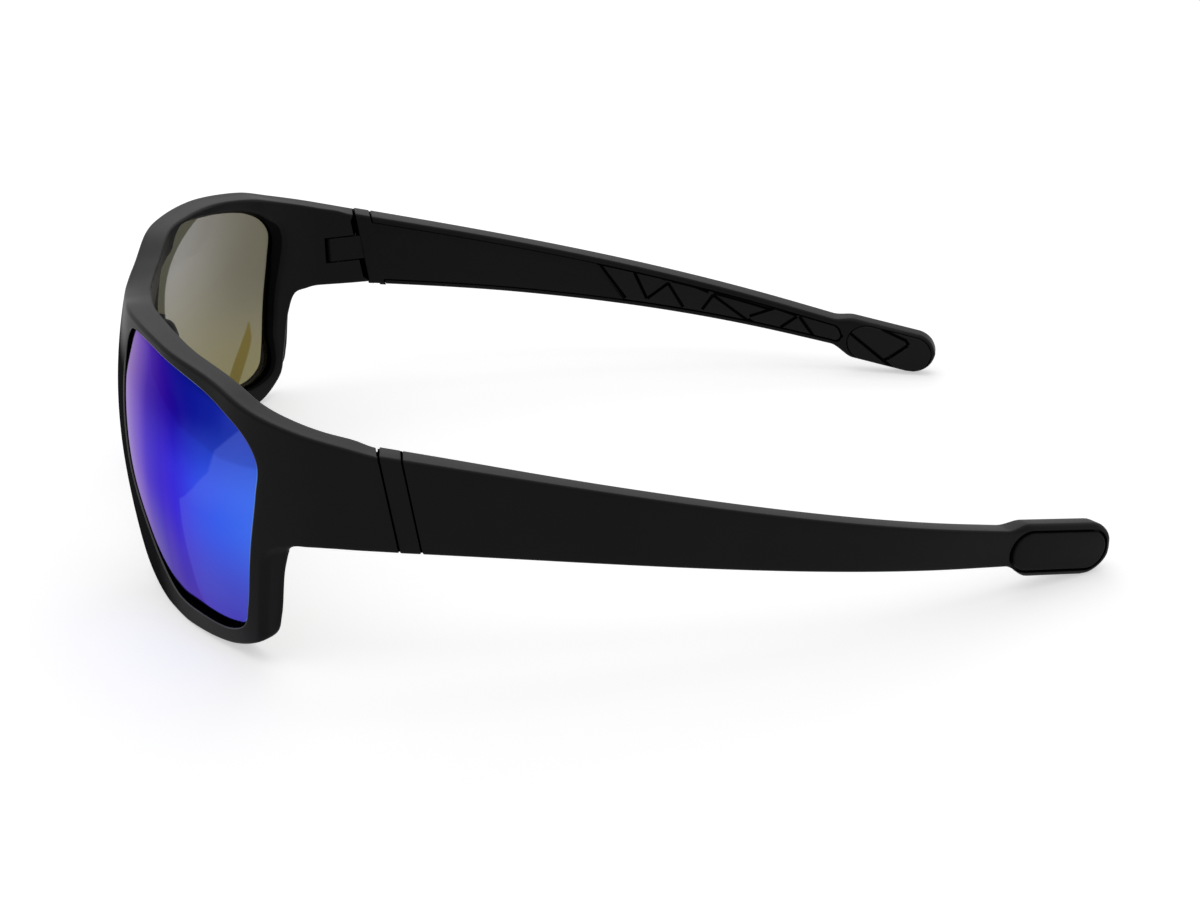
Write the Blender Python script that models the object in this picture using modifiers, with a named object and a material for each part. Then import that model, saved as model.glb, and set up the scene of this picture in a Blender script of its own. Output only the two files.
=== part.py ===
"""Wrap-around sunglasses for glaciers and mountain sports, as separate pieces.

Metres, +Z up. The front looks towards -Y, the temples run to +Y, the wearer's left is +X.
The origin lies below the middle of the whole object, on the surface it rests on.

The front is drawn on a curved wall: "run" is the distance along the wall from the middle
of the bridge, height is Z, and "depth" goes inwards, square to the wall. The temples use
the same idea: "along" is Y, height is Z, and depth goes inwards from their outer side.
"""

import math

import bmesh
import bpy
from mathutils import Matrix, Vector

MM = 0.001
OVERCUT = 2.0 * MM            # how far a cutter runs past what it cuts
SMOOTH_BELOW = math.radians(35)
MERGE_WITHIN = 0.0001 * MM

# The front's curved wall
FRONT_Y = -83.4 * MM          # foremost line of the brow
FRONT_RADIUS = 96.5 * MM      # wrap of the front, seen from above
FRONT_SWEEP = math.radians(36.9)
CORNER_RADIUS = 25.0 * MM     # tighter bend towards the temples
END_HEADING = math.radians(77.6)
BULGE_RADIUS = 90.0 * MM      # the wall's curve seen from the side
BULGE_LEVEL = 22.0 * MM
BULGE_ZERO_LEVEL = 45.5 * MM
FLAT_FROM = 52.0 * MM         # the bulge fades out along this stretch
FLAT_TO = 74.0 * MM

# The front's outline
FRONT_RUN = 88.2 * MM         # middle of the bridge to the hinge gap
FRONT_HEIGHT = 49.1 * MM
END_TOP = 38.8 * MM           # end piece, at the hinge gap
END_BOTTOM = 23.1 * MM
GAP_LEAN = 2.5 * MM           # the gap runs further back at its foot
BACK_GAP_SHIFT = 1.4 * MM     # opens the gap into a V on the inner side
GAP_REACH = 5.0 * MM          # the outline takes up the gap's lean along this
FRONT_DEPTH = 4.9 * MM
BRIDGE_EXTRA_DEPTH = 2.0 * MM
LOWER_RIM_LESS_DEPTH = 0.8 * MM
EDGE_ROUND = 0.5 * MM

# Lenses and their seats
LENS_THICKNESS = 1.8 * MM
LENS_RECESS = 0.6 * MM        # lens face behind the rim's face
LEDGE_WIDTH = 1.7 * MM
LEDGE_THICKNESS = 1.0 * MM
LEDGE_FLARE = 0.7 * MM        # how far the back edge of the ledge opens
TEMPORAL_FLARE = 2.1 * MM     # the same beside the temples
HIGH_FLARE = 1.8 * MM         # added to that in its upper part
CLEARANCE = 0.3 * MM

# Nose pads
PAD_LOW = (20.0 * MM, 14.0 * MM)      # run and height of the pad's ends
PAD_HIGH = (11.5 * MM, 33.5 * MM)
PAD_HALF_WIDTH = 4.0 * MM
PAD_THICKNESS = 3.8 * MM

# Hinges
PIVOT_BEFORE_GAP = 4.05 * MM
TONGUE_RADIUS = 1.85 * MM
TONGUE_LEVEL = 31.0 * MM
TONGUE_HEIGHT = 5.1 * MM
TONGUE_ROOT = 0.8 * MM        # its overlap with the hinge block
SCREW_RADIUS = 0.6 * MM
SCREW_HEAD_RADIUS = 1.05 * MM
SCREW_HEAD_HEIGHT = 0.9 * MM
INSERT_RADIUS = 1.25 * MM
INSERT_LENGTH = 3.0 * MM
INSERT_RISE = 0.4 * MM        # insert above the slot's ceiling
HEAD_SINK = 0.5 * MM          # screw head inside the end piece's underside
GAP = 0.3 * MM
GAP_EDGE = 0.12 * MM          # chamfer along both hinge gaps

# Temples
TEMPLE_LENGTH = 128.5 * MM    # hinge gap to the tip
BOW_LENGTH = 99.0 * MM        # hinge gap to where the toe-in is full
BOW_IN = 8.92 * MM            # how far that stretch comes in
ROOT_SLOPE = 0.032
TOE_IN_SLOPE = -0.342
TEMPLE_THICKNESS = 4.2 * MM
ROOT_EXTRA_THICKNESS = 0.7 * MM
ROOT_TAPER = 36.0 * MM        # the extra thickness fades out along this
INNER_DRAFT = 0.5 * MM        # drawn in at both long edges of the inner side
TOP_STEP = 0.1 * MM           # upper edge below the end piece's
TOP_FALL = 0.2315             # slope of the upper edge, and how it grows per metre
TOP_CURVE = 0.143
BOTTOM_FALL = 0.126           # the same for the lower edge
BOTTOM_CURVE = 0.335
BLOCK_LENGTH = 3.2 * MM       # hinge block between the two gaps
SHELL_LIP = 0.9 * MM
OUTER_WALL = 1.7 * MM         # of the shell, behind the channel
CHANNEL_DEPTH = TEMPLE_THICKNESS - OUTER_WALL
TEMPLE_EDGE = 0.6 * MM
GRIP_START = 56.7 * MM        # from the hinge gap to the rubber grip, at mid height
GRIP_START_LEAN = 6.1 * MM
GRIP_BEFORE_PADDLE = 2.5 * MM
GRIP_STANDS_OUT = 0.15 * MM
BLUNT = 0.12                  # half width left at its round end, as a share of the whole
PLATE_SINK = 0.15 * MM        # the core's plate below the shell's lips

# Ear paddles
PADDLE_RADIUS = 4.9 * MM
PADDLE_SPAN = 12.5 * MM       # between the centres of its two round ends
PADDLE_FALL = 0.216           # slope of its axis
NECK_LENGTH = 6.0 * MM        # the temple widens into the paddle along this
SOFT_EDGE = 0.25 * MM         # chamfer of the rubber pieces
INLAY_MARGIN = 1.15 * MM
INLAY_DEPTH = 1.0 * MM
INLAY_STANDS_OUT = 0.2 * MM
TIP_GRIP_MARGIN = 0.75 * MM
TIP_GRIP_DEPTH = 1.3 * MM
TIP_GRIP_SHIFT = 2.7 * MM     # its near end starts this much later than the inlay's

# Key points of the front, from the middle of the brow round the temple side and back
# below to the nose: samples to the next point, then (run, height) on the outer face, on
# the back face and at the lens opening, as shares of FRONT_RUN and FRONT_HEIGHT.
# END_TOP and END_BOTTOM take the place of the heights named "top" and "bottom".
FRONT_KEYS = (
    (2, (0.000, 0.931), (0.000, 0.935), (0.231, 0.825)),  # brow, middle
    (2, (0.113, 0.953), (0.113, 0.957), (0.245, 0.916)),
    (3, (0.249, 0.990), (0.249, 0.994), (0.295, 0.955)),
    (3, (0.408, 1.000), (0.408, 0.996), (0.408, 0.959)),  # brow, highest
    (3, (0.544, 0.984), (0.544, 0.969), (0.544, 0.949)),
    (3, (0.680, 0.947), (0.663, 0.917), (0.680, 0.902)),
    (4, (0.794, 0.888), (0.782, 0.860), (0.755, 0.835)),
    (3, (1.000, "top"), (1.000, "top"), (0.781, 0.739)),  # hinge gap
    (4, (1.000, "bottom"), (1.000, "bottom"), (0.770, 0.621)),
    (2, (0.884, "bottom"), (0.856, "bottom"), (0.759, 0.509)),
    (2, (0.841, 0.456), (0.802, 0.466), (0.753, 0.448)),  # fillet below the end piece
    (3, (0.823, 0.377), (0.773, 0.377), (0.747, 0.377)),
    (2, (0.807, 0.193), (0.753, 0.193), (0.732, 0.214)),
    (3, (0.771, 0.102), (0.720, 0.098), (0.714, 0.138)),
    (3, (0.680, 0.035), (0.646, 0.031), (0.663, 0.092)),
    (3, (0.544, 0.004), (0.539, 0.008), (0.544, 0.061)),
    (3, (0.420, 0.000), (0.420, 0.008), (0.442, 0.041)),  # lowest
    (3, (0.317, 0.049), (0.323, 0.049), (0.366, 0.100)),
    (3, (0.204, 0.210), (0.215, 0.200), (0.297, 0.261)),
    (2, (0.125, 0.407), (0.142, 0.397), (0.247, 0.428)),
    (2, (0.062, 0.562), (0.074, 0.574), (0.227, 0.570)),
    (4, (0.000, 0.607), (0.000, 0.631), (0.222, 0.703)),  # nose arch, middle
)
CORNER_KEYS = (0, 7, 8, 21)   # where the outer outline turns sharply
ACROSS = (0.25, 0.5, 0.75)    # rings between the lens opening and the outline
ACROSS_BACK = (0.35, 0.7)


def smooth_step(value, start, end):
    share = min(max((value - start) / (end - start), 0.0), 1.0)
    return share * share * (3.0 - 2.0 * share)


def lerp(a, b, share):
    return a + (b - a) * share


def mix(a, b, share):
    """A point between two points."""
    return tuple(lerp(p, q, share) for p, q in zip(a, b))


# ---------------------------------------------------------------- the front's wall

def wall_plan(run):
    """Plan position and heading of the wall at a run."""
    first = FRONT_RADIUS * FRONT_SWEEP
    second = CORNER_RADIUS * (END_HEADING - FRONT_SWEEP)
    if run <= first:
        turn = run / FRONT_RADIUS
        x = FRONT_RADIUS * math.sin(turn)
        y = FRONT_Y + FRONT_RADIUS * (1.0 - math.cos(turn))
        return x, y, turn
    x = FRONT_RADIUS * math.sin(FRONT_SWEEP)
    y = FRONT_Y + FRONT_RADIUS * (1.0 - math.cos(FRONT_SWEEP))
    turn = min(FRONT_SWEEP + (run - first) / CORNER_RADIUS, END_HEADING)
    x += CORNER_RADIUS * (math.sin(turn) - math.sin(FRONT_SWEEP))
    y += CORNER_RADIUS * (math.cos(FRONT_SWEEP) - math.cos(turn))
    rest = max(run - first - second, 0.0)
    return x + rest * math.cos(turn), y + rest * math.sin(turn), turn


def wall_point(run, height, depth):
    x, y, turn = wall_plan(run)
    span = (BULGE_ZERO_LEVEL - BULGE_LEVEL) ** 2 - (height - BULGE_LEVEL) ** 2
    bulge = span / (2.0 * BULGE_RADIUS) * (1.0 - smooth_step(run, FLAT_FROM, FLAT_TO))
    out = bulge - depth
    return Vector((x + out * math.sin(turn), y - out * math.cos(turn), height))


def front_depth(run, height):
    bridge = BRIDGE_EXTRA_DEPTH * (1.0 - smooth_step(run, 4 * MM, 20 * MM))
    lower = LOWER_RIM_LESS_DEPTH * (1.0 - smooth_step(height, 6 * MM, 20 * MM))
    return FRONT_DEPTH + bridge - lower


def ledge_flare(run, height):
    beside = smooth_step(run, 58 * MM, 65 * MM) * (1.0 - smooth_step(height, 37 * MM, 42 * MM))
    high = HIGH_FLARE * smooth_step(height, 22 * MM, 34 * MM)
    return LEDGE_FLARE + (TEMPORAL_FLARE + high - LEDGE_FLARE) * beside


# ---------------------------------------------------------------- outlines

def catmull(p0, p1, p2, p3, share):
    """Centripetal Catmull-Rom between p1 and p2."""
    t0 = 0.0
    t1 = t0 + math.dist(p0, p1) ** 0.5
    t2 = t1 + math.dist(p1, p2) ** 0.5
    t3 = t2 + math.dist(p2, p3) ** 0.5
    at = t1 + (t2 - t1) * share

    def blend(a, start, b, end):
        return mix(a, b, (at - start) / (end - start))

    a1, a2, a3 = blend(p0, t0, p1, t1), blend(p1, t1, p2, t2), blend(p2, t2, p3, t3)
    return blend(blend(a1, t0, a2, t2), t1, blend(a2, t1, a3, t3), t2)


def key_loop(column, corners):
    """A closed loop of (run, height) through one column of FRONT_KEYS."""
    heights = {"top": END_TOP, "bottom": END_BOTTOM}
    keys = []
    for row in FRONT_KEYS:
        run, height = row[column]
        level = heights[height] if height in heights else height * FRONT_HEIGHT
        keys.append((run * FRONT_RUN, level))
    count = len(keys)

    def beyond(corner, other):
        """The point past a corner that the curve towards the other key aims from."""
        if corner[0] == 0.0:
            return -other[0], other[1]
        return 2 * corner[0] - other[0], 2 * corner[1] - other[1]

    loop = []
    for i, row in enumerate(FRONT_KEYS):
        j = (i + 1) % count
        a, b = keys[i], keys[j]
        before = beyond(a, b) if i in corners else keys[i - 1]
        after = beyond(b, a) if j in corners else keys[(j + 1) % count]
        for step in range(row[0]):
            straight = a[0] == b[0] == 0.0
            share = step / row[0]
            point = mix(a, b, share) if straight else catmull(before, a, b, after, share)
            loop.append((max(point[0], 0.0), max(point[1], 0.0)))
    return loop


def near_gap(run):
    return smooth_step(run, FRONT_RUN - GAP_REACH, FRONT_RUN)


def lean_gap(loop, shift):
    """Leans the outline's end along the hinge gap."""
    leaned = []
    for run, height in loop:
        foot = (END_TOP - height) / (END_TOP - END_BOTTOM)
        leaned.append((run + near_gap(run) * (foot * GAP_LEAN - shift), height))
    return leaned


def inset(loop, distance):
    """The closed loop moved inwards by a distance, or by a distance for each point."""
    count = len(loop)
    moved = []
    for i, (run, height) in enumerate(loop):
        before, after = loop[i - 1], loop[(i + 1) % count]
        along = Vector((after[0] - before[0], after[1] - before[1])).normalized()
        step = distance[i] if isinstance(distance, list) else distance
        moved.append((run + along.y * step, height - along.x * step))
    return moved


OUTER = lean_gap(key_loop(1, CORNER_KEYS), 0.0)
BACK = lean_gap(key_loop(2, CORNER_KEYS), BACK_GAP_SHIFT)
OPENING = key_loop(3, ())
PLANE_FROM = len(OUTER) - FRONT_KEYS[-1][0]   # from here the outline lies on the mirror plane


def centre_of(loop):
    return tuple(sum(point[axis] for point in loop) / len(loop) for axis in (0, 1))


# ---------------------------------------------------------------- mesh helpers

def collection(name):
    found = bpy.data.collections.new(name)
    bpy.context.scene.collection.children.link(found)
    return found


def material(name, colour, roughness, metallic=0.0):
    made = bpy.data.materials.new(name)
    made.use_nodes = True
    shader = made.node_tree.nodes["Principled BSDF"]
    shader.inputs["Base Color"].default_value = (*colour, 1.0)
    shader.inputs["Roughness"].default_value = roughness
    shader.inputs["Metallic"].default_value = metallic
    return made


def add_object(name, mesh, group, finish=None):
    made = bpy.data.objects.new(name, mesh)
    group.objects.link(made)
    if finish is not None:
        mesh.materials.clear()
        mesh.materials.append(finish)
    return made


def loft(loops, joined=False, leave_out=None):
    """A mesh through equal loops of points, capped, or joined to its first loop.

    leave_out(level, i) is true for a wall face that stays open.
    """
    shape = bmesh.new()
    rows = [[shape.verts.new(point) for point in loop] for loop in loops]
    count = len(rows[0])
    pairs = list(zip(rows, rows[1:]))
    if joined:
        pairs.append((rows[-1], rows[0]))
    for level, (low, high) in enumerate(pairs):
        for i in range(count):
            if leave_out and leave_out(level, i):
                continue
            j = (i + 1) % count
            shape.faces.new((low[i], low[j], high[j], high[i]))
    if not joined:
        shape.faces.new(list(reversed(rows[0])))
        shape.faces.new(rows[-1])
    return shape


def finish_mesh(shape, name):
    bmesh.ops.remove_doubles(shape, verts=shape.verts, dist=MERGE_WITHIN)
    bmesh.ops.recalc_face_normals(shape, faces=shape.faces)
    mesh = bpy.data.meshes.new(name)
    shape.to_mesh(mesh)
    shape.free()
    mesh.shade_smooth()
    mesh.set_sharp_from_angle(angle=SMOOTH_BELOW)
    return mesh


def prism(name, outline, low, high):
    """An upright prism over a plan outline, as a cutter or a union part."""
    loops = [[Vector((x, y, z)) for x, y in outline] for z in (low, high)]
    return finish_mesh(loft(loops), name)


def cylinder(name, centre, radius, low, high, sides=24):
    shape = bmesh.new()
    bmesh.ops.create_cone(shape, cap_ends=True, segments=sides, radius1=radius,
                          radius2=radius, depth=high - low)
    middle = Vector((centre[0], centre[1], (low + high) / 2))
    bmesh.ops.translate(shape, verts=shape.verts, vec=middle)
    return finish_mesh(shape, name)


def both_sides(mesh):
    """Adds a mirrored copy of the mesh to itself."""
    shape = bmesh.new()
    shape.from_mesh(mesh)
    copied = bmesh.ops.duplicate(shape, geom=shape.verts[:] + shape.edges[:] + shape.faces[:])
    verts = [item for item in copied["geom"] if isinstance(item, bmesh.types.BMVert)]
    faces = [item for item in copied["geom"] if isinstance(item, bmesh.types.BMFace)]
    bmesh.ops.scale(shape, verts=verts, vec=(-1, 1, 1))
    bmesh.ops.reverse_faces(shape, faces=faces)
    shape.to_mesh(mesh)
    shape.free()
    return mesh


def boolean(target, cutter_mesh, operation, cutters):
    cutter = add_object(cutter_mesh.name, cutter_mesh, cutters)
    cutter.hide_render = True
    cutter.display_type = "WIRE"
    step = target.modifiers.new(cutter_mesh.name, "BOOLEAN")
    step.operation = operation
    step.object = cutter
    step.solver = "EXACT"


def mirrored(piece, name, group, finish):
    """The right-hand twin of a finished left-hand piece."""
    graph = bpy.context.evaluated_depsgraph_get()
    mesh = bpy.data.meshes.new_from_object(piece.evaluated_get(graph))
    mesh.name = name
    mesh.transform(Matrix.Scale(-1.0, 4, Vector((1.0, 0.0, 0.0))))
    mesh.flip_normals()
    return add_object(name, mesh, group, finish)


# ---------------------------------------------------------------- the front

def front_mesh():
    """Half of the front, open at the middle, for a Mirror modifier."""
    flare = [ledge_flare(*point) for point in OPENING]
    ledge = inset(OPENING, LEDGE_WIDTH)
    ledge_back = inset(ledge, [-step for step in flare])
    seat = LENS_RECESS + LENS_THICKNESS + CLEARANCE
    depths = [front_depth(*point) for point in OUTER]
    edge = [lerp(EDGE_ROUND, GAP_EDGE, near_gap(run)) for run, _ in OUTER]

    def ring(points, depth):
        return [
            wall_point(*point, depth[i] if isinstance(depth, list) else depth)
            for i, point in enumerate(points)
        ]

    def back_ring(points):
        return ring(points, [front_depth(*point) for point in points])

    def rounded(a, b):
        """Each point of a moved towards b by its edge, but never past a third of the way."""
        return [
            mix(p, q, min(step / max(math.dist(p, q), 1e-9), 0.33))
            for p, q, step in zip(a, b, edge)
        ]

    def between(a, b, share):
        return [mix(p, q, share) for p, q in zip(a, b)]

    near_back = [deep - step for deep, step in zip(depths, edge)]
    wall_share = [1.0 - step / deep for deep, step in zip(depths, edge)]
    wall_back = [mix(p, q, share) for p, q, share in zip(OUTER, BACK, wall_share)]
    rings = [ring(OPENING, 0.0)]
    rings += [ring(between(OPENING, OUTER, share), 0.0) for share in ACROSS]
    rings.append(ring(on_plane(rounded(OUTER, OPENING)), 0.0))
    outer_from = len(rings)
    rings.append(ring(on_plane(OUTER), edge))
    rings.append(ring(on_plane(wall_back), near_back))
    rings.append(back_ring(on_plane(rounded(BACK, ledge_back))))
    rings += [back_ring(between(BACK, ledge_back, share)) for share in ACROSS_BACK]
    rings.append(back_ring(ledge_back))
    rings.append(ring(ledge, seat + LEDGE_THICKNESS))
    rings.append(ring(ledge, seat))
    rings.append(ring(OPENING, seat))
    wall = range(outer_from - 1, outer_from + 2)
    shape = loft(rings, True, lambda level, i: level in wall and i >= PLANE_FROM)
    return finish_mesh(shape, "front")


def on_plane(points):
    """Keeps the stretch that lies on the mirror plane there."""
    return [(0.0, point[1]) if i >= PLANE_FROM or i == 0 else point
            for i, point in enumerate(points)]


def lens_mesh():
    middle = centre_of(OPENING)
    edge = inset(OPENING, CLEARANCE)
    shares = (0.12, 0.4, 0.7, 1.0)
    levels = [(share, LENS_RECESS) for share in shares]
    levels += [(share, LENS_RECESS + LENS_THICKNESS) for share in reversed(shares)]
    rings = [
        [wall_point(*mix(middle, point, share), depth) for point in edge]
        for share, depth in levels
    ]
    return finish_mesh(loft(rings), "lens")


def nose_pad_mesh():
    """An oval pad with a domed back, seated on the back of the nose arch."""
    low, high = Vector(PAD_LOW), Vector(PAD_HIGH)
    middle = (low + high) / 2
    along = (high - low).normalized()
    across = Vector((along.y, -along.x))
    half_length = (high - low).length / 2 + PAD_HALF_WIDTH * 0.6
    sides = 28
    # share of the oval, and share of the thickness, from the seat to the crown
    levels = ((0.90, 0.0), (1.0, 0.14), (0.99, 0.42), (0.88, 0.72), (0.64, 0.92), (0.3, 1.0))
    rings = []
    for size, rise in levels:
        ring = []
        for i in range(sides):
            turn = 2 * math.pi * i / sides
            point = middle + along * half_length * size * math.cos(turn)
            point += across * PAD_HALF_WIDTH * size * math.sin(turn)
            depth = front_depth(point.x, point.y) + CLEARANCE + PAD_THICKNESS * rise
            ring.append(wall_point(point.x, point.y, depth))
        rings.append(ring)
    return finish_mesh(loft(rings), "nose_pad")


# ---------------------------------------------------------------- hinge places

ROOT_X, ROOT_Y, _ = wall_plan(FRONT_RUN)
ACROSS_END = 1.0 / math.sin(END_HEADING)      # X per depth through the end piece


def end_inner_x(y):
    """X of the end piece's inner face at a Y."""
    return ROOT_X + (y - ROOT_Y) / math.tan(END_HEADING) - FRONT_DEPTH * ACROSS_END


PIVOT_Y = ROOT_Y - PIVOT_BEFORE_GAP
PIVOT = Vector((end_inner_x(PIVOT_Y) + TONGUE_RADIUS * ACROSS_END, PIVOT_Y, 0.0))
TONGUE_LOW = TONGUE_LEVEL - TONGUE_HEIGHT / 2
TONGUE_HIGH = TONGUE_LEVEL + TONGUE_HEIGHT / 2
SCREW_SEAT = END_BOTTOM + HEAD_SINK + SCREW_HEAD_HEIGHT
INSERT_LOW = TONGUE_HIGH + CLEARANCE + INSERT_RISE
INSERT_TOP = INSERT_LOW + INSERT_LENGTH
GAP_FOOT = GAP_LEAN * math.sin(END_HEADING)
BLOCK_START = ROOT_Y + GAP_FOOT / 2 + GAP     # at the gap's middle height
BLOCK_END = BLOCK_START + BLOCK_LENGTH
SHELL_START = BLOCK_END + GAP


def arc(centre, radius, start, end, steps):
    """Points of an arc in plan, between two angles in degrees."""
    turns = [math.radians(lerp(start, end, i / steps)) for i in range(steps + 1)]
    return [
        (centre.x + radius * math.cos(turn), centre.y + radius * math.sin(turn))
        for turn in turns
    ]


def slot_mesh():
    """Room for the tongue, open to the inner side and to the gap."""
    reach = TONGUE_RADIUS + CLEARANCE
    open_x = end_inner_x(PIVOT.y - reach) - OVERCUT
    open_y = ROOT_Y + GAP_FOOT + OVERCUT
    outline = [(open_x, open_y), (open_x, PIVOT.y - reach)]
    outline += arc(PIVOT, reach, -90, 0, 8)
    outline.append((PIVOT.x + reach, open_y))
    return prism("hinge_slot", outline, TONGUE_LOW - CLEARANCE, TONGUE_HIGH + CLEARANCE)


def tongue_mesh():
    """The tongue, round about the pivot, with its inner flank flush with the end piece."""
    back = BLOCK_START + GAP_FOOT / 2 + TONGUE_ROOT
    outline = arc(PIVOT, TONGUE_RADIUS, 90 + math.degrees(END_HEADING), 360, 14)
    outline.append((PIVOT.x + TONGUE_RADIUS, back))
    outline.append((end_inner_x(back), back))
    return prism("hinge_tongue", outline, TONGUE_LOW, TONGUE_HIGH)


# ---------------------------------------------------------------- the temples

def temple_x(along):
    """X of the temple's outer side, and its slope, at a Y."""
    share = (along - ROOT_Y) / BOW_LENGTH
    if share > 1.0:
        return ROOT_X - BOW_IN + TOE_IN_SLOPE * (share - 1.0) * BOW_LENGTH, TOE_IN_SLOPE
    first, last = ROOT_SLOPE * BOW_LENGTH, TOE_IN_SLOPE * BOW_LENGTH
    square = -3 * BOW_IN - 2 * first - last
    cube = 2 * BOW_IN + first + last
    x = ROOT_X + first * share + square * share ** 2 + cube * share ** 3
    return x, (first + 2 * square * share + 3 * cube * share ** 2) / BOW_LENGTH


def temple_point(along, height, depth):
    x, slope = temple_x(along)
    length = math.hypot(1.0, slope)
    return Vector((x - depth / length, along + depth * slope / length, height))


def thickness(along):
    root = 1.0 - smooth_step(along, ROOT_Y, ROOT_Y + ROOT_TAPER)
    return TEMPLE_THICKNESS + ROOT_EXTRA_THICKNESS * root


PADDLE_END = ROOT_Y + TEMPLE_LENGTH - PADDLE_RADIUS       # Y of its end centres
PADDLE_START = PADDLE_END - PADDLE_SPAN
PADDLE_LEAN = math.atan(PADDLE_FALL)
GRIP_END = PADDLE_START - GRIP_BEFORE_PADDLE


def paddle_axis(along):
    """Height of the paddle's axis: its round end stands on the ground."""
    return PADDLE_RADIUS + PADDLE_FALL * (PADDLE_END - along)


def paddle_edges(along, radius):
    """Lower and upper edge heights of the paddle, or of an oval inside it."""
    tilt = radius * math.sin(PADDLE_LEAN)
    flat = radius / math.cos(PADDLE_LEAN)
    past = along - PADDLE_END
    axis = paddle_axis(along)
    centre = paddle_axis(PADDLE_END)
    cap = math.sqrt(max(radius ** 2 - past ** 2, 0.0))
    low = axis - flat if past < -tilt else centre - cap
    high = axis + flat if past < tilt else centre + cap
    return low, high


def edges(along, margin=0.0):
    """Lower and upper edge heights of the temple blank at a Y, less a margin."""
    out = along - ROOT_Y
    top = END_TOP - TOP_STEP - TOP_FALL * out - TOP_CURVE * out ** 2
    bottom = END_BOTTOM - BOTTOM_FALL * out - BOTTOM_CURVE * out ** 2
    share = smooth_step(along, PADDLE_START - NECK_LENGTH, PADDLE_START)
    return mix((bottom + margin, top - margin),
               paddle_edges(along, PADDLE_RADIUS - margin), share)


def stations(start, end, step):
    count = max(round((end - start) / step), 1)
    return [start + (end - start) * i / count for i in range(count + 1)]


def round_stations(centre, radius, steps=6, last=84):
    """Stations that follow a round end, up to an angle in degrees."""
    turns = [math.radians(last * (i + 1) / steps) for i in range(steps)]
    return [centre + radius * math.sin(turn) for turn in turns]


def strip(along, levels, faces, edge, lean=None, draft=0.0, start_edge=0.0, end_edge=0.0):
    """A bar that follows the temple, with chamfered long edges.

    along holds its stations, levels(y) gives its lower and upper edge, and faces(y) its
    outer and inner face. lean(y) is how much further back its foot is than its top. The
    inner side is drawn in by the draft at each long edge. start_edge and end_edge chamfer
    its ends.
    """
    first, last = along[0], along[-1]
    places = [(y, 0.0) for y in along]
    if start_edge:
        places[0:1] = [(first, start_edge), (first + start_edge, 0.0)]
    if end_edge:
        places[-1:] = [(last - end_edge, 0.0), (last, end_edge)]
    loops = []
    for station, shrink in places:
        low, high = levels(station)
        outer, inner = faces(station)
        outer, inner = outer + shrink, inner - shrink
        height = high - low
        e = min(edge, height * 0.3, (inner - outer) * 0.45)
        outer_low, inner_low = shrink, shrink + draft
        section = (
            (outer_low + e, outer), (outer_low, outer + e),
            (inner_low, inner - e), (inner_low + e, inner),
            (height - inner_low - e, inner), (height - inner_low, inner - e),
            (height - outer_low, outer + e), (height - outer_low - e, outer),
        )
        loop = []
        for rise, depth in section:
            share = rise / height
            y = station + (0.5 - share) * (lean(station) if lean else 0.0)
            loop.append(temple_point(y, lerp(*levels(y), share), depth))
        loops.append(loop)
    return loft(loops)


def fading_lean(amount, at):
    """A lean that is full at one end of a strip and gone a little way along."""
    return lambda y: amount * max(0.0, 1.0 - abs(y - at) / (2.5 * amount))


def shell_mesh():
    neck_start = PADDLE_START - NECK_LENGTH
    straight = stations(SHELL_START, neck_start, 9 * MM)
    neck = stations(neck_start, PADDLE_START, 1.5 * MM)[1:]
    paddle = stations(PADDLE_START, PADDLE_END - PADDLE_RADIUS * PADDLE_FALL, 4 * MM)[1:]
    along = [*straight, *neck, *paddle, *round_stations(PADDLE_END, PADDLE_RADIUS)]
    shape = strip(along, edges, lambda y: (0.0, thickness(y)), TEMPLE_EDGE,
                  fading_lean(GAP_FOOT, SHELL_START), INNER_DRAFT, GAP_EDGE)
    return finish_mesh(shape, "temple_shell")


def plain_levels(y, clear=0.0):
    return edges(y, SHELL_LIP + INNER_DRAFT + clear)


def channel_levels(y, clear=0.0):
    """Edge heights of the channel in the shell, whose far end is round."""
    low, high = plain_levels(y, clear)
    half = (high - low) / 2
    past = max(y - (GRIP_END - half), 0.0)
    round_half = math.sqrt(max(half ** 2 - past ** 2, (BLUNT * half) ** 2))
    middle = (low + high) / 2
    return middle - round_half, middle + round_half


def channel_mesh():
    round_from = GRIP_END - PADDLE_RADIUS / 2
    along = stations(SHELL_START - GAP_FOOT - OVERCUT, round_from, 8 * MM)
    along += stations(round_from, GRIP_END + CLEARANCE, 0.5 * MM)[1:]
    shape = strip(along, channel_levels,
                  lambda y: (thickness(y) - CHANNEL_DEPTH, thickness(y) + OVERCUT),
                  0.02 * MM)
    return finish_mesh(shape, "temple_channel")


def core_plate_mesh():
    start = BLOCK_START + BLOCK_LENGTH / 2
    along = stations(start, ROOT_Y + GRIP_START, 8 * MM)
    shape = strip(along, lambda y: plain_levels(y, CLEARANCE),
                  lambda y: (thickness(y) - CHANNEL_DEPTH + CLEARANCE,
                             thickness(y) - PLATE_SINK),
                  SOFT_EDGE, fading_lean(GRIP_START_LEAN, along[-1]))
    return finish_mesh(shape, "core_plate")


def block_mesh():
    shape = strip([BLOCK_START, BLOCK_END], edges, lambda y: (0.0, thickness(y)),
                  TEMPLE_EDGE, lambda y: GAP_FOOT, INNER_DRAFT, GAP_EDGE, GAP_EDGE)
    return finish_mesh(shape, "hinge_block")


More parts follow.
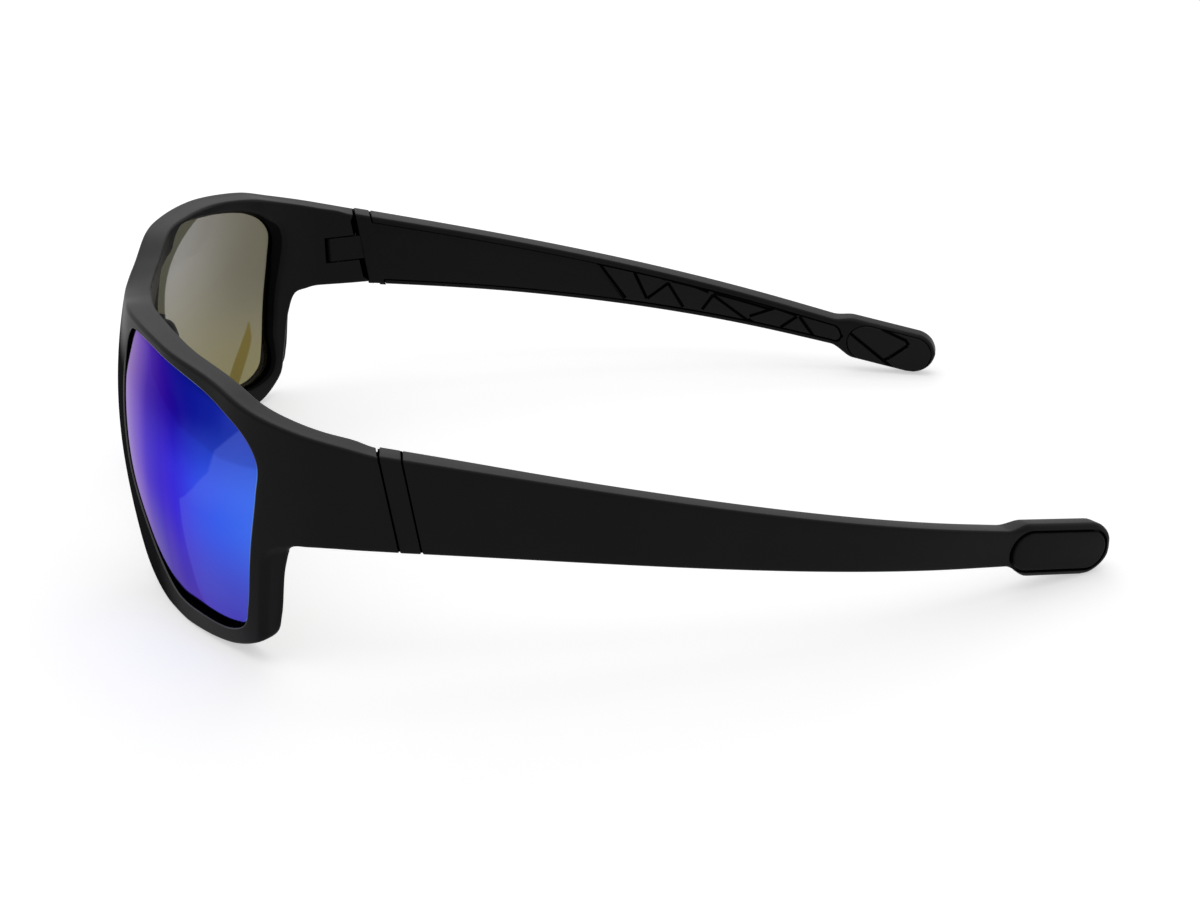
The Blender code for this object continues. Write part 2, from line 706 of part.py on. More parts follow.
def temple_grip_mesh():
    start = ROOT_Y + GRIP_START + CLEARANCE
    end = GRIP_END - CLEARANCE
    round_from = GRIP_END - PADDLE_RADIUS / 2
    along = stations(start, round_from, 6 * MM) + stations(round_from, end, 0.5 * MM)[1:]

    def levels(y):
        low, high = channel_levels(y + CLEARANCE * smooth_step(y, round_from, end))
        clear = min(CLEARANCE, (high - low) * 0.35)
        return low + clear, high - clear

    shape = strip(along, levels,
                  lambda y: (thickness(y) - CHANNEL_DEPTH + CLEARANCE,
                             thickness(y) + GRIP_STANDS_OUT),
                  SOFT_EDGE, fading_lean(GRIP_START_LEAN, start))
    return finish_mesh(shape, "temple_grip")


def stadium(margin, start_shift, levels, name, sides=32):
    """A long oval bar in the paddle, with both ends round.

    levels holds (inset, depth) pairs from its outer side inwards.
    """
    loops = []
    for step_in, depth in levels:
        radius = PADDLE_RADIUS - margin - step_in
        loop = []
        for i in range(sides):
            turn = 2 * math.pi * (i + 0.5) / sides
            centre = PADDLE_END if math.cos(turn) > 0 else PADDLE_START + start_shift
            along = centre + radius * math.cos(turn - PADDLE_LEAN)
            level = paddle_axis(centre) + radius * math.sin(turn - PADDLE_LEAN)
            loop.append(temple_point(along, level, depth))
        loops.append(loop)
    return finish_mesh(loft(loops), name)


# ---------------------------------------------------------------- assembly

def clear_scene():
    for old in list(bpy.data.objects):
        bpy.data.objects.remove(old)


def build():
    clear_scene()
    group = collection("glacier_glasses")
    cutters = collection("cutters")

    black = material("frame_black", (0.018, 0.018, 0.02), 0.45)
    shell_black = material("shell_black", (0.02, 0.02, 0.022), 0.42)
    mirror = material("lens_mirror", (0.12, 0.16, 0.75), 0.08, 0.6)
    rubber = material("rubber_black", (0.022, 0.022, 0.024), 0.75)
    pad_rubber = material("pad_rubber", (0.03, 0.03, 0.032), 0.7)
    steel = material("screw_steel", (0.6, 0.6, 0.62), 0.3, 1.0)
    brass = material("insert_brass", (0.75, 0.58, 0.28), 0.35, 1.0)

    # front
    front = add_object("front_frame", front_mesh(), group, black)
    fold = front.modifiers.new("both_halves", "MIRROR")
    fold.use_clip = True
    fold.merge_threshold = 0.00001
    boolean(front, both_sides(slot_mesh()), "DIFFERENCE", cutters)
    bore = cylinder("screw_bore", PIVOT, SCREW_RADIUS + CLEARANCE,
                    END_BOTTOM - OVERCUT, TONGUE_LEVEL)
    boolean(front, both_sides(bore), "DIFFERENCE", cutters)
    head = cylinder("head_recess", PIVOT, SCREW_HEAD_RADIUS + CLEARANCE,
                    END_BOTTOM - OVERCUT, SCREW_SEAT + CLEARANCE)
    boolean(front, both_sides(head), "DIFFERENCE", cutters)
    nest = cylinder("insert_bore", PIVOT, INSERT_RADIUS + CLEARANCE,
                    TONGUE_LEVEL, INSERT_TOP + CLEARANCE)
    boolean(front, both_sides(nest), "DIFFERENCE", cutters)

    pairs = []

    def piece(name, mesh, finish):
        made = add_object(f"{name}_left", mesh, group, finish)
        pairs.append((made, name, finish))
        return made

    piece("lens", lens_mesh(), mirror)
    piece("nose_pad", nose_pad_mesh(), pad_rubber)

    shank = cylinder("hinge_screw", PIVOT, SCREW_RADIUS,
                     SCREW_SEAT - SCREW_HEAD_HEIGHT / 2, INSERT_TOP - CLEARANCE, 16)
    screw = piece("hinge_screw", shank, steel)
    screw_head = cylinder("screw_head", PIVOT, SCREW_HEAD_RADIUS,
                          SCREW_SEAT - SCREW_HEAD_HEIGHT, SCREW_SEAT)
    boolean(screw, screw_head, "UNION", cutters)

    sleeve = cylinder("hinge_insert", PIVOT, INSERT_RADIUS, INSERT_LOW, INSERT_TOP)
    insert = piece("hinge_insert", sleeve, brass)
    hole = cylinder("insert_hole", PIVOT, SCREW_RADIUS + CLEARANCE,
                    INSERT_LOW - OVERCUT, INSERT_TOP + OVERCUT)
    boolean(insert, hole, "DIFFERENCE", cutters)

    # temple core
    core = piece("temple_core", core_plate_mesh(), black)
    boolean(core, block_mesh(), "UNION", cutters)
    boolean(core, tongue_mesh(), "UNION", cutters)
    bore = cylinder("tongue_bore", PIVOT, SCREW_RADIUS + CLEARANCE,
                    TONGUE_LOW - OVERCUT, TONGUE_HIGH + OVERCUT)
    boolean(core, bore, "DIFFERENCE", cutters)

    # temple shell
    shell = piece("temple_shell", shell_mesh(), shell_black)
    boolean(shell, channel_mesh(), "DIFFERENCE", cutters)
    levels = ((0.0, -OVERCUT), (0.0, INLAY_DEPTH))
    recess = stadium(INLAY_MARGIN, 0.0, levels, "inlay_recess")
    boolean(shell, recess, "DIFFERENCE", cutters)
    inner = TEMPLE_THICKNESS
    levels = ((0.0, inner - TIP_GRIP_DEPTH), (0.0, inner + OVERCUT))
    recess = stadium(TIP_GRIP_MARGIN, TIP_GRIP_SHIFT, levels, "tip_grip_recess")
    boolean(shell, recess, "DIFFERENCE", cutters)

    piece("temple_grip", temple_grip_mesh(), rubber)
    soft = SOFT_EDGE
    top = inner + GRIP_STANDS_OUT
    levels = ((0.0, inner - TIP_GRIP_DEPTH + CLEARANCE), (0.0, top - soft), (soft, top))
    mesh = stadium(TIP_GRIP_MARGIN + CLEARANCE, TIP_GRIP_SHIFT, levels, "tip_grip")
    piece("tip_grip", mesh, rubber)
    levels = ((soft, -INLAY_STANDS_OUT), (0.0, soft - INLAY_STANDS_OUT),
              (0.0, INLAY_DEPTH - CLEARANCE))
    piece("tip_pad", stadium(INLAY_MARGIN + CLEARANCE, 0.0, levels, "tip_pad"), rubber)

    moving = ("temple_core", "temple_shell", "temple_grip", "tip_grip", "tip_pad")
    axes = {}
    for side, sign in (("left", 1.0), ("right", -1.0)):
        axis = bpy.data.objects.new(f"hinge_axis_{side}", None)
        axis.location = (sign * PIVOT.x, PIVOT.y, TONGUE_LEVEL)
        group.objects.link(axis)
        axes[side] = axis
    for made, name, finish in pairs:
        twin = mirrored(made, f"{name}_right", group, finish)
        if name in moving:
            for member, side in ((made, "left"), (twin, "right")):
                member.parent = axes[side]
                place = Matrix.Translation(axes[side].location)
                member.matrix_parent_inverse = place.inverted()


build()
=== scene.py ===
"""Wrap-around sport glasses: the looks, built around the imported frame.

Lengths are in metres, +Z up. The front faces -Y, the temples run to +Y and +X is the
wearer's left. A place on the front is (run, height): the distance along the wrapped wall
from its middle, and the height. A place on a temple is (along, height), with along = Y.
Depth is measured inwards from the outer face.
"""

import math

import bmesh
import bpy
from mathutils import Matrix, Vector


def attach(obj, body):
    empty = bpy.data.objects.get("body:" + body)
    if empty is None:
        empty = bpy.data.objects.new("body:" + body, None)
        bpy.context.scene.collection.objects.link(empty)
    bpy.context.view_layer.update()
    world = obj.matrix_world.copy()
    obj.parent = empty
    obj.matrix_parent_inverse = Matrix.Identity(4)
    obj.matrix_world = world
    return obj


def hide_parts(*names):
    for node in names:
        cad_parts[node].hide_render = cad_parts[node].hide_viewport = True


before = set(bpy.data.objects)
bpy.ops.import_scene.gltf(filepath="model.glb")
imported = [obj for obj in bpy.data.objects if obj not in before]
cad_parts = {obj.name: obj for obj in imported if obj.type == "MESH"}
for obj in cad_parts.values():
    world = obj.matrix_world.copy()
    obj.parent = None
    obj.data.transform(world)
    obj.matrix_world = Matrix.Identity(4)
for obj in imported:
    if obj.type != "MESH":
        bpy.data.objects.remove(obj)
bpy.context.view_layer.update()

MM = 0.001
MERGE = 0.0002 * MM           # points closer than this are one point
SLIVER = 0.004 * MM           # shorter edges left by cutting are closed up
SHARP = math.radians(38)      # steeper creases stay crisp
PAINTS = 5                    # material slots that a mesh's faces can point at
MATT, CHANNEL, LEDGE, LIP, FACE = range(PAINTS)       # on the front and the hinge cores
GROOVE = 1                                            # on the grips

# ---------------------------------------------------------------- sizes
# A pair of lengths is a range over which something fades in or out.

# the front's wall, in plan and in height
FRONT_Y = -83.4 * MM
FRONT_RADIUS = 96.5 * MM
FRONT_SWEEP = math.radians(36.9)
CORNER_RADIUS = 25.0 * MM
END_HEADING = math.radians(77.6)
BULGE_RADIUS = 90.0 * MM
BULGE_LEVEL = 22.0 * MM
BULGE_ZERO_LEVEL = 45.5 * MM
STRAIGHTER = 0.42              # how much less the wall bulges beside the nose
STRAIGHTER_IN = (8 * MM, 28 * MM)
STRAIGHTER_OUT = (44 * MM, 62 * MM)
FLATTENING = (52 * MM, 74 * MM)

# its outline, the hinge gap and its depth
FRONT_RUN = 88.2 * MM
FRONT_HEIGHT = 49.1 * MM
END_TOP = 38.5 * MM
END_BOTTOM = 22.4 * MM
GAP_LEAN = 2.5 * MM
BACK_GAP_SHIFT = 1.9 * MM      # the gap opens this far towards the wearer
SQUARE_GAP_SHIFT = 1.05 * MM   # and this far at its top and foot
GAP_OPENS = (0.1 * MM, 0.6 * MM)
GAP_REACH = 5.0 * MM
END_DRAFT = (72 * MM, 78 * MM)
FRONT_DEPTH = 4.9 * MM
LOWER_RIM_LESS_DEPTH = 0.8 * MM
LOWER_RIM = (6 * MM, 20 * MM)
SCOOP_DEPTH = 0.25 * MM        # the front is thinner beside the nose
SCOOP_MORE_DEPTH = 1.0 * MM    # and more so below the brow
SCOOP_RUN = (20 * MM, 34 * MM)
SCOOP_FOOT = (20 * MM, 27 * MM)
SCOOP_BROW = (33 * MM, 43 * MM)
EDGE_ROUND = 0.55 * MM
OPENING_ROUND = 0.22 * MM
SIDE_RECESS = 0.8 * MM        # the rim's flank behind its front lip
SIDE_RECESS_FROM = 67.2 * MM
SIDE_RECESS_CORNER = 3.5 * MM
SIDE_RECESS_LEAN = 0.13
SIDE_RECESS_LEVEL = 14 * MM
SIDE_RECESS_SLOPE = (0.0, 1.3 * MM)
SIDE_RECESS_FOOT = (1.5 * MM, 6.0 * MM)

# the lens, the ledge behind it and the flared wall from the ledge to the back face
CLEARANCE = 0.3 * MM
LENS_THICKNESS = 1.8 * MM
LENS_RECESS = 0.6 * MM
LENS_EDGE_ROUND = 0.25 * MM
LENS_FOOT_DROP = 0.45 * MM     # the lens lies deeper at its foot
LENS_FOOT = (4 * MM, 9 * MM)
LENS_FOOT_IN = (38 * MM, 50 * MM)
LENS_FOOT_OUT = (60 * MM, 66 * MM)
LENS_FOOT_LESS = 0.6           # the share of the drop that is lost further out
LENS_NOSE_RISE = 0.35 * MM     # and less deep beside the nose
LENS_NOSE = (34 * MM, 44 * MM)
LENS_BROW = (37 * MM, 45 * MM)
LENS_CLEARANCE = CLEARANCE * 0.6
LENS_CORNER_GAP = 0.2 * MM     # a wider gap at its lower outer corner
LENS_CORNER_RUN = (48 * MM, 56 * MM)
LENS_CORNER_HEIGHT = (4.5 * MM, 8 * MM)
LEDGE_WIDTH = 1.7 * MM
NOSE_LEDGE_WIDTH = 0.25 * MM
LEDGE_WIDENS = (25 * MM, 46 * MM)
LEDGE_CORNER_RUN = (48 * MM, 56 * MM)
LEDGE_CORNER_HEIGHT = (8 * MM, 15 * MM)
LEDGE_THICKNESS = 1.0 * MM
NOSE_LEDGE_THICKNESS = 0.15 * MM
LEDGE_THICKENS = (25 * MM, 44 * MM)
LEDGE_FLARE = 0.7 * MM
TEMPORAL_FLARE = 1.7 * MM
TEMPORAL_FLARE_RUN = (58 * MM, 65 * MM)
TEMPORAL_FLARE_TOP = (37 * MM, 42 * MM)
HIGH_FLARE = 1.8 * MM
HIGH_FLARE_HEIGHT = (22 * MM, 34 * MM)
NOSE_FLARE = 8.5 * MM
NOSE_FLARE_RUN = (25.5 * MM, 31 * MM)
NOSE_FLARE_FOOT = (29 * MM, 35 * MM)
NOSE_FLARE_TOP = (40 * MM, 44.5 * MM)
FLARE_EDGE = 0.15 * MM
LEDGE_SOFT = 0.1 * MM

# the nose rests
PAD_LOW = (20.0 * MM, 14.0 * MM)       # run and height of a rest's two ends, not a range
PAD_HIGH = (11.4 * MM, 34.0 * MM)
PAD_HALF_WIDTH = 4.0 * MM
PAD_THICKNESS = 3.8 * MM
PAD_EXTRA_THICKNESS = 2 * MM   # towards the bridge
PAD_THICKER = (4 * MM, 20 * MM)
PAD_OVERHANG = PAD_HALF_WIDTH * 0.6
PAD_CLEARANCE = CLEARANCE * 0.4
RIB_PITCH = 1.15 * MM
RIB_DEPTH = 0.08 * MM
RIB_FADE = (0.12, 0.3)         # how far in from the cushion's outline, as a share
RIB_CREST = (0.35, 0.95)       # the part of each wave that is sunk

# the hinge
PIVOT_BEFORE_GAP = 4.05 * MM
TONGUE_RADIUS = 1.85 * MM
TONGUE_LEVEL = 31.0 * MM
TONGUE_HEIGHT = 5.1 * MM
TONGUE_ROOT = 0.8 * MM
TONGUE_CORNER = 0.8 * MM
TONGUE_CORNER_FROM = 1.2 * MM  # this and the next are measured forward from the pivot
TONGUE_FRONT = 1.95 * MM
SCREW_RADIUS = 0.6 * MM
SCREW_HEAD_RADIUS = 1.05 * MM
SCREW_HEAD_HEIGHT = 0.9 * MM
INSERT_RADIUS = 1.25 * MM
INSERT_LENGTH = 3.0 * MM
INSERT_RISE = 0.4 * MM
HEAD_SINK = 1.0 * MM
DRIVE_REACH = 0.72 * MM       # the cross in the screw's head
DRIVE_HALF_WIDTH = 0.13 * MM
DRIVE_DEPTH = 0.45 * MM
SCREW_EDGE = 0.12 * MM
SLOT_FRONT_ROOM = 0.22 * MM
GAP = 0.3 * MM
GAP_EDGE = 0.06 * MM
GAP_NOTCH = 0.2 * MM          # rounding at the top and foot of each hinge gap

# the temples
TEMPLE_LENGTH = 128.5 * MM
BOW_LENGTH = 99.0 * MM
BOW_IN = 8.92 * MM
ROOT_SLOPE = 0.032
TOE_IN_SLOPE = -0.342
TEMPLE_THICKNESS = 4.2 * MM
ROOT_EXTRA_THICKNESS = 0.7 * MM
ROOT_TAPER = 36.0 * MM
INNER_DRAFT = 0.5 * MM
TOP_DRAFT = 0.2 * MM
TOP_STEP = -0.28 * MM
TOP_FALL = 0.2315
TOP_CURVE = 0.143
BOTTOM_FALL = 0.1138
BOTTOM_CURVE = 0.400
BLOCK_LENGTH = 3.2 * MM
SHELL_LIP = 0.9 * MM
CHANNEL_DEPTH = 2.5 * MM
TEMPLE_EDGE = 0.6 * MM
GRIP_START = 56.7 * MM
GRIP_START_LEAN = 6.1 * MM
GRIP_BEFORE_PADDLE = 2.5 * MM
GRIP_STANDS_OUT = 0.15 * MM
BLUNT = 0.12
PLATE_SINK = 0.15 * MM
PLATE_EDGE = 0.15 * MM
PLATE_CLEARANCE = CLEARANCE * 0.55
GRIP_EDGE = 0.2 * MM
GRIP_CLEARANCE = 0.4 * MM
GRIP_CLEARANCE_SHARE = 0.35    # of its height, where it is low
GRIP_START_CLEARANCE = CLEARANCE * 0.6

# the ear paddles and their inlays
PADDLE_RADIUS = 4.9 * MM
PADDLE_SPAN = 12.5 * MM
PADDLE_FALL = 0.216
NECK_LENGTH = 4.8 * MM
NECK_SOFTER = 0.5 * MM         # its long edges are this much rounder
TIP_ROUND = 1.0 * MM
TIP_ROUND_REACH = 1.1 * MM
SOFT_EDGE = 0.3 * MM
INLAY_MARGIN = 0.95 * MM
INLAY_SHIFT = -0.5 * MM
INLAY_DEPTH = 1.0 * MM
INLAY_STANDS_OUT = 0.2 * MM
INLAY_GROOVE = 0.5 * MM
INLAY_PAD_SHIFT = 0.35 * MM
TIP_GRIP_MARGIN = 0.75 * MM
TIP_GRIP_DEPTH = 1.3 * MM
TIP_GRIP_SHIFT = 2.7 * MM
TIP_GRIP_CLEARANCE = CLEARANCE * 0.7

# the grooves of the grips
GROOVE_WIDTH = 0.65 * MM
GROOVE_DEPTH = 0.5 * MM
GROOVE_PAST_END = 0.1 * MM
# Across and down, as shares of a groove's width and depth.
GROOVE_SECTION = ((-0.62, -0.12), (0.62, -0.12), (0.14, 1.0), (-0.14, 1.0))

# Sunk collars in the hinge gap, in millimetres: start and end from the block's front face,
# margin inside the temple's edges, outer and inner depth. They step forward with depth.
COLLARS = (
    (-0.25, 1.0, 0.25, 0.4, 3.9),
    (-0.35, 0.9, 0.65, 0.8, 3.9),
    (-0.56, 0.8, 0.80, 2.0, 3.95),
    (-0.76, 0.7, 0.95, 3.2, 4.0),
)
REAR_COLLAR_LENGTH = 1.0 * MM
REAR_COLLAR_GAP = 0.02 * MM
REAR_COLLAR_MARGIN = 0.25 * MM
REAR_COLLAR_SINK = 0.4 * MM

# Key points of the front: samples to the next point, then (run, height) on the outer
# face, on the back face and at the lens opening, as shares of FRONT_RUN and FRONT_HEIGHT.
FRONT_KEYS = (
    (2, (0.000, 0.931), (0.000, 0.935), (0.281, 0.825)),
    (2, (0.113, 0.953), (0.113, 0.957), (0.301, 0.916)),
    (3, (0.249, 0.998), (0.249, 0.999), (0.332, 0.967)),
    (3, (0.408, 1.007), (0.408, 0.996), (0.408, 0.979)),
    (3, (0.544, 0.990), (0.544, 0.974), (0.544, 0.957)),
    (3, (0.680, 0.951), (0.663, 0.937), (0.680, 0.897)),
    (4, (0.794, 0.889), (0.782, 0.881), (0.750, 0.824)),
    (3, (1.000, "top"), (1.000, "top"), (0.777, 0.734)),
    (4, (1.000, "bottom"), (1.000, "bottom"), (0.770, 0.621)),
    (2, (0.869, 0.4650), (0.852, 0.4670), (0.759, 0.509)),
    (2, (0.831, 0.455), (0.811, 0.460), (0.753, 0.448)),
    (3, (0.812, 0.377), (0.784, 0.377), (0.747, 0.377)),
    (2, (0.795, 0.193), (0.764, 0.193), (0.733, 0.214)),
    (3, (0.780, 0.122), (0.747, 0.098), (0.717, 0.132)),
    (3, (0.680, 0.031), (0.672, 0.020), (0.672, 0.092)),
    (3, (0.544, 0.004), (0.539, 0.008), (0.590, 0.088)),
    (3, (0.420, 0.000), (0.420, 0.008), (0.493, 0.100)),
    (3, (0.317, 0.049), (0.323, 0.049), (0.441, 0.158)),
    (3, (0.204, 0.210), (0.215, 0.200), (0.381, 0.262)),
    (2, (0.125, 0.407), (0.142, 0.397), (0.288, 0.428)),
    (2, (0.062, 0.562), (0.074, 0.574), (0.264, 0.570)),
    (4, (0.000, 0.607), (0.000, 0.631), (0.263, 0.703)),
)
GAP_TOP_KEY, GAP_FOOT_KEY = 7, 8
CORNER_KEYS = (0, GAP_TOP_KEY, GAP_FOOT_KEY, len(FRONT_KEYS) - 1)
FINER = 4                     # samples of the loops against those in FRONT_KEYS

# Rings round the front: over the lip, across the face, back along the side, across the
# back face to the flare, and round the lens seat.
LIP_STEPS, FACE_STEPS, SIDE_STEPS, BACK_STEPS, EDGE_STEPS = 3, 18, 5, 6, 5
FLARE_SHARES = (0.12, 0.4, 0.7, 0.94)
SEAT_RINGS = 3


# ---------------------------------------------------------------- shapes in numbers

def smooth_step(value, start, end):
    share = min(max((value - start) / (end - start), 0.0), 1.0)
    return share * share * (3.0 - 2.0 * share)


def rises(value, ends):
    """0 before a range and 1 past it."""
    return smooth_step(value, *ends)


def falls(value, ends):
    """1 before a range and 0 past it."""
    return 1.0 - smooth_step(value, *ends)


def lerp(a, b, share):
    return a + (b - a) * share


def mix(a, b, share):
    return tuple(lerp(p, q, share) for p, q in zip(a, b))


def wall_plan(run):
    """Plan position and heading of the front's wall at a run."""
    first = FRONT_RADIUS * FRONT_SWEEP
    second = CORNER_RADIUS * (END_HEADING - FRONT_SWEEP)
    if run <= first:
        turn = run / FRONT_RADIUS
        x = FRONT_RADIUS * math.sin(turn)
        y = FRONT_Y + FRONT_RADIUS * (1.0 - math.cos(turn))
        return x, y, turn
    x = FRONT_RADIUS * math.sin(FRONT_SWEEP)
    y = FRONT_Y + FRONT_RADIUS * (1.0 - math.cos(FRONT_SWEEP))
    turn = min(FRONT_SWEEP + (run - first) / CORNER_RADIUS, END_HEADING)
    x += CORNER_RADIUS * (math.sin(turn) - math.sin(FRONT_SWEEP))
    y += CORNER_RADIUS * (math.cos(FRONT_SWEEP) - math.cos(turn))
    rest = max(run - first - second, 0.0)
    return x + rest * math.cos(turn), y + rest * math.sin(turn), turn


def wall_point(run, height, depth):
    """The point at a depth inside the front's bulging outer face."""
    x, y, turn = wall_plan(run)
    span = (BULGE_ZERO_LEVEL - BULGE_LEVEL) ** 2 - (height - BULGE_LEVEL) ** 2
    drop = (height - BULGE_LEVEL) ** 2 / (2.0 * BULGE_RADIUS)
    straighter = rises(run, STRAIGHTER_IN) * falls(run, STRAIGHTER_OUT)
    bulge = span / (2.0 * BULGE_RADIUS) + STRAIGHTER * straighter * drop
    bulge *= falls(run, FLATTENING)
    out = bulge - depth
    return Vector((x + out * math.sin(turn), y - out * math.cos(turn), height))


def nose_scoop(run, height):
    """How much thinner the front is beside the nose than round the rest of the rims."""
    share = falls(run, SCOOP_RUN) * rises(height, SCOOP_FOOT)
    return (SCOOP_DEPTH + SCOOP_MORE_DEPTH * falls(height, SCOOP_BROW)) * share


def front_depth(run, height):
    """How deep the front is from its outer face to its back face."""
    lower = LOWER_RIM_LESS_DEPTH * falls(height, LOWER_RIM)
    return FRONT_DEPTH - lower - nose_scoop(run, height)


def ledge_flare(run, height):
    """How far the wall behind the lens opens out between the ledge and the back face."""
    beside = rises(run, TEMPORAL_FLARE_RUN) * falls(height, TEMPORAL_FLARE_TOP)
    high = HIGH_FLARE * rises(height, HIGH_FLARE_HEIGHT)
    nose = falls(run, NOSE_FLARE_RUN) * rises(height, NOSE_FLARE_FOOT)
    nose *= falls(height, NOSE_FLARE_TOP)
    return LEDGE_FLARE + (TEMPORAL_FLARE + high - LEDGE_FLARE) * beside + NOSE_FLARE * nose


def ledge_width(run, height):
    """The ledge is narrow beside the nose and at the lower outer corner."""
    corner = rises(run, LEDGE_CORNER_RUN) * falls(height, LEDGE_CORNER_HEIGHT)
    share = rises(run, LEDGE_WIDENS) * (1.0 - corner)
    return lerp(NOSE_LEDGE_WIDTH, LEDGE_WIDTH, share)


def relief(run, height):
    """How far the rim's flank, below the end piece and behind the front lip, lies in."""
    lean = (height - SIDE_RECESS_LEVEL) * SIDE_RECESS_LEAN
    behind = run - SIDE_RECESS_FROM - lean
    below = END_BOTTOM - height
    corner = SIDE_RECESS_CORNER
    inside = min(behind, below)
    if behind < corner and below < corner:
        inside = corner - math.hypot(corner - behind, corner - below)
    return SIDE_RECESS * rises(inside, SIDE_RECESS_SLOPE) * rises(height, SIDE_RECESS_FOOT)


def catmull(p0, p1, p2, p3, share):
    """Centripetal Catmull-Rom between p1 and p2."""
    t0 = 0.0
    t1 = t0 + math.dist(p0, p1) ** 0.5
    t2 = t1 + math.dist(p1, p2) ** 0.5
    t3 = t2 + math.dist(p2, p3) ** 0.5
    at = t1 + (t2 - t1) * share

    def blend(a, start, b, end):
        return mix(a, b, (at - start) / (end - start))

    a1, a2, a3 = blend(p0, t0, p1, t1), blend(p1, t1, p2, t2), blend(p2, t2, p3, t3)
    return blend(blend(a1, t0, a2, t2), t1, blend(a2, t1, a3, t3), t2)


def key_loop(column, corners):
    """A closed loop of (run, height) through one column of FRONT_KEYS."""
    heights = {"top": END_TOP, "bottom": END_BOTTOM}
    keys = []
    for row in FRONT_KEYS:
        run, height = row[column]
        level = heights[height] if height in heights else height * FRONT_HEIGHT
        keys.append((run * FRONT_RUN, level))
    count = len(keys)

    def beyond(corner, other):
        if corner[0] == 0.0:
            return -other[0], other[1]
        return 2 * corner[0] - other[0], 2 * corner[1] - other[1]

    loop = []
    for i, row in enumerate(FRONT_KEYS):
        j = (i + 1) % count
        a, b = keys[i], keys[j]
        before = beyond(a, b) if i in corners else keys[i - 1]
        after = beyond(b, a) if j in corners else keys[(j + 1) % count]
        samples = row[0] * FINER
        for step in range(samples):
            straight = a[0] == b[0] == 0.0
            share = step / samples
            point = mix(a, b, share) if straight else catmull(before, a, b, after, share)
            loop.append((max(point[0], 0.0), max(point[1], 0.0)))
    return loop


def near_gap(run):
    """1 at the hinge gap, fading to 0 over its reach."""
    return smooth_step(run, FRONT_RUN - GAP_REACH, FRONT_RUN)


def lean_gap(loop):
    """The loop with its hinge end leaning back towards the foot."""
    leaned = []
    for run, height in loop:
        foot = (END_TOP - height) / (END_TOP - END_BOTTOM)
        leaned.append((run + near_gap(run) * foot * GAP_LEAN, height))
    return leaned


def inset(loop, distance, square=False):
    """The closed loop moved inwards by a distance, or by a distance for each point.

    square moves a corner of the hinge gap square to both of the edges that meet there.
    """
    count = len(loop)
    steps = distance if isinstance(distance, list) else [distance] * count
    moved = []
    for i, point in enumerate(loop):
        before, after = loop[i - 1], loop[(i + 1) % count]
        sides = [(before, after, steps[i])]
        if square and i in GAP_CORNERS:
            sides = [(before, point, steps[i - 1]), (point, after, steps[i + 1])]
        run, height = point
        for start, end, step in sides:
            along = Vector((end[0] - start[0], end[1] - start[1])).normalized()
            run, height = run + along.y * step, height - along.x * step
        moved.append((run, height))
    return moved


def samples_before(row):
    """How many points of a loop come before a key."""
    return sum(keys[0] for keys in FRONT_KEYS[:row]) * FINER


def gap_shifted(loop):
    """The back loop: its hinge end square across, opening into a V but not at its ends."""
    middle, half = (END_TOP + END_BOTTOM) / 2, (END_TOP - END_BOTTOM) / 2
    made = []
    for i, (run, height) in enumerate(loop):
        inside = rises(half - abs(height - middle), GAP_OPENS)
        shift = lerp(SQUARE_GAP_SHIFT, BACK_GAP_SHIFT, inside if i in ON_GAP else 0.0)
        near = near_gap(run)
        draft = -TOP_DRAFT * near if height > middle else INNER_DRAFT * rises(run, END_DRAFT)
        draft *= smooth_step(abs(height - middle), 0.0, half)
        made.append((run - shift * near, height + draft))
    return made


GAP_CORNERS = (samples_before(GAP_TOP_KEY), samples_before(GAP_FOOT_KEY))
ON_GAP = range(GAP_CORNERS[0] + 1, GAP_CORNERS[1])
OUTER = lean_gap(key_loop(1, CORNER_KEYS))
BACK = gap_shifted(lean_gap(key_loop(2, CORNER_KEYS)))
OPENING = key_loop(3, ())
PLANE_FROM = len(OUTER) - FRONT_KEYS[-1][0] * FINER


# ---------------------------------------------------------------- mesh helpers

def skin(rows, joined=False, paint=None):
    """A bmesh skin over equal rings of points: a grid whose corners are moved onto them.

    joined closes the last ring to the first; otherwise both ends are capped. paint gives
    the material index of the faces that follow a ring.
    """
    down = len(rows) if joined else len(rows) - 1
    across = len(rows[0])
    shape = bmesh.new()
    bmesh.ops.create_grid(shape, x_segments=across, y_segments=down, size=0.5)
    low = min(vert.co.x for vert in shape.verts)
    wide = max(vert.co.x for vert in shape.verts) - low
    for vert in shape.verts:
        i = round((vert.co.x - low) / wide * across)
        j = round((vert.co.y - low) / wide * down)
        vert.co = rows[j % len(rows)][i % len(rows[0])]
        vert.index = j
    for face in shape.faces:
        level = min(vert.index for vert in face.verts)
        face.material_index = paint.get(level, 0) if paint else 0
    bmesh.ops.remove_doubles(shape, verts=shape.verts, dist=MERGE)
    if not joined:
        bmesh.ops.holes_fill(shape, edges=shape.edges, sides=0)
    return shape


def as_mesh(shape, name):
    """A mesh from a closed skin, with empty slots so that painted faces keep their index."""
    bmesh.ops.recalc_face_normals(shape, faces=shape.faces)
    mesh = bpy.data.meshes.new(name)
    shape.to_mesh(mesh)
    shape.free()
    for _ in range(PAINTS):
        mesh.materials.append(None)
    mesh.shade_smooth()
    mesh.set_sharp_from_angle(angle=SHARP)
    return mesh


def shown(name, mesh):
    """A new object in the scene."""
    made = bpy.data.objects.new(name, mesh)
    bpy.context.scene.collection.objects.link(made)
    return made


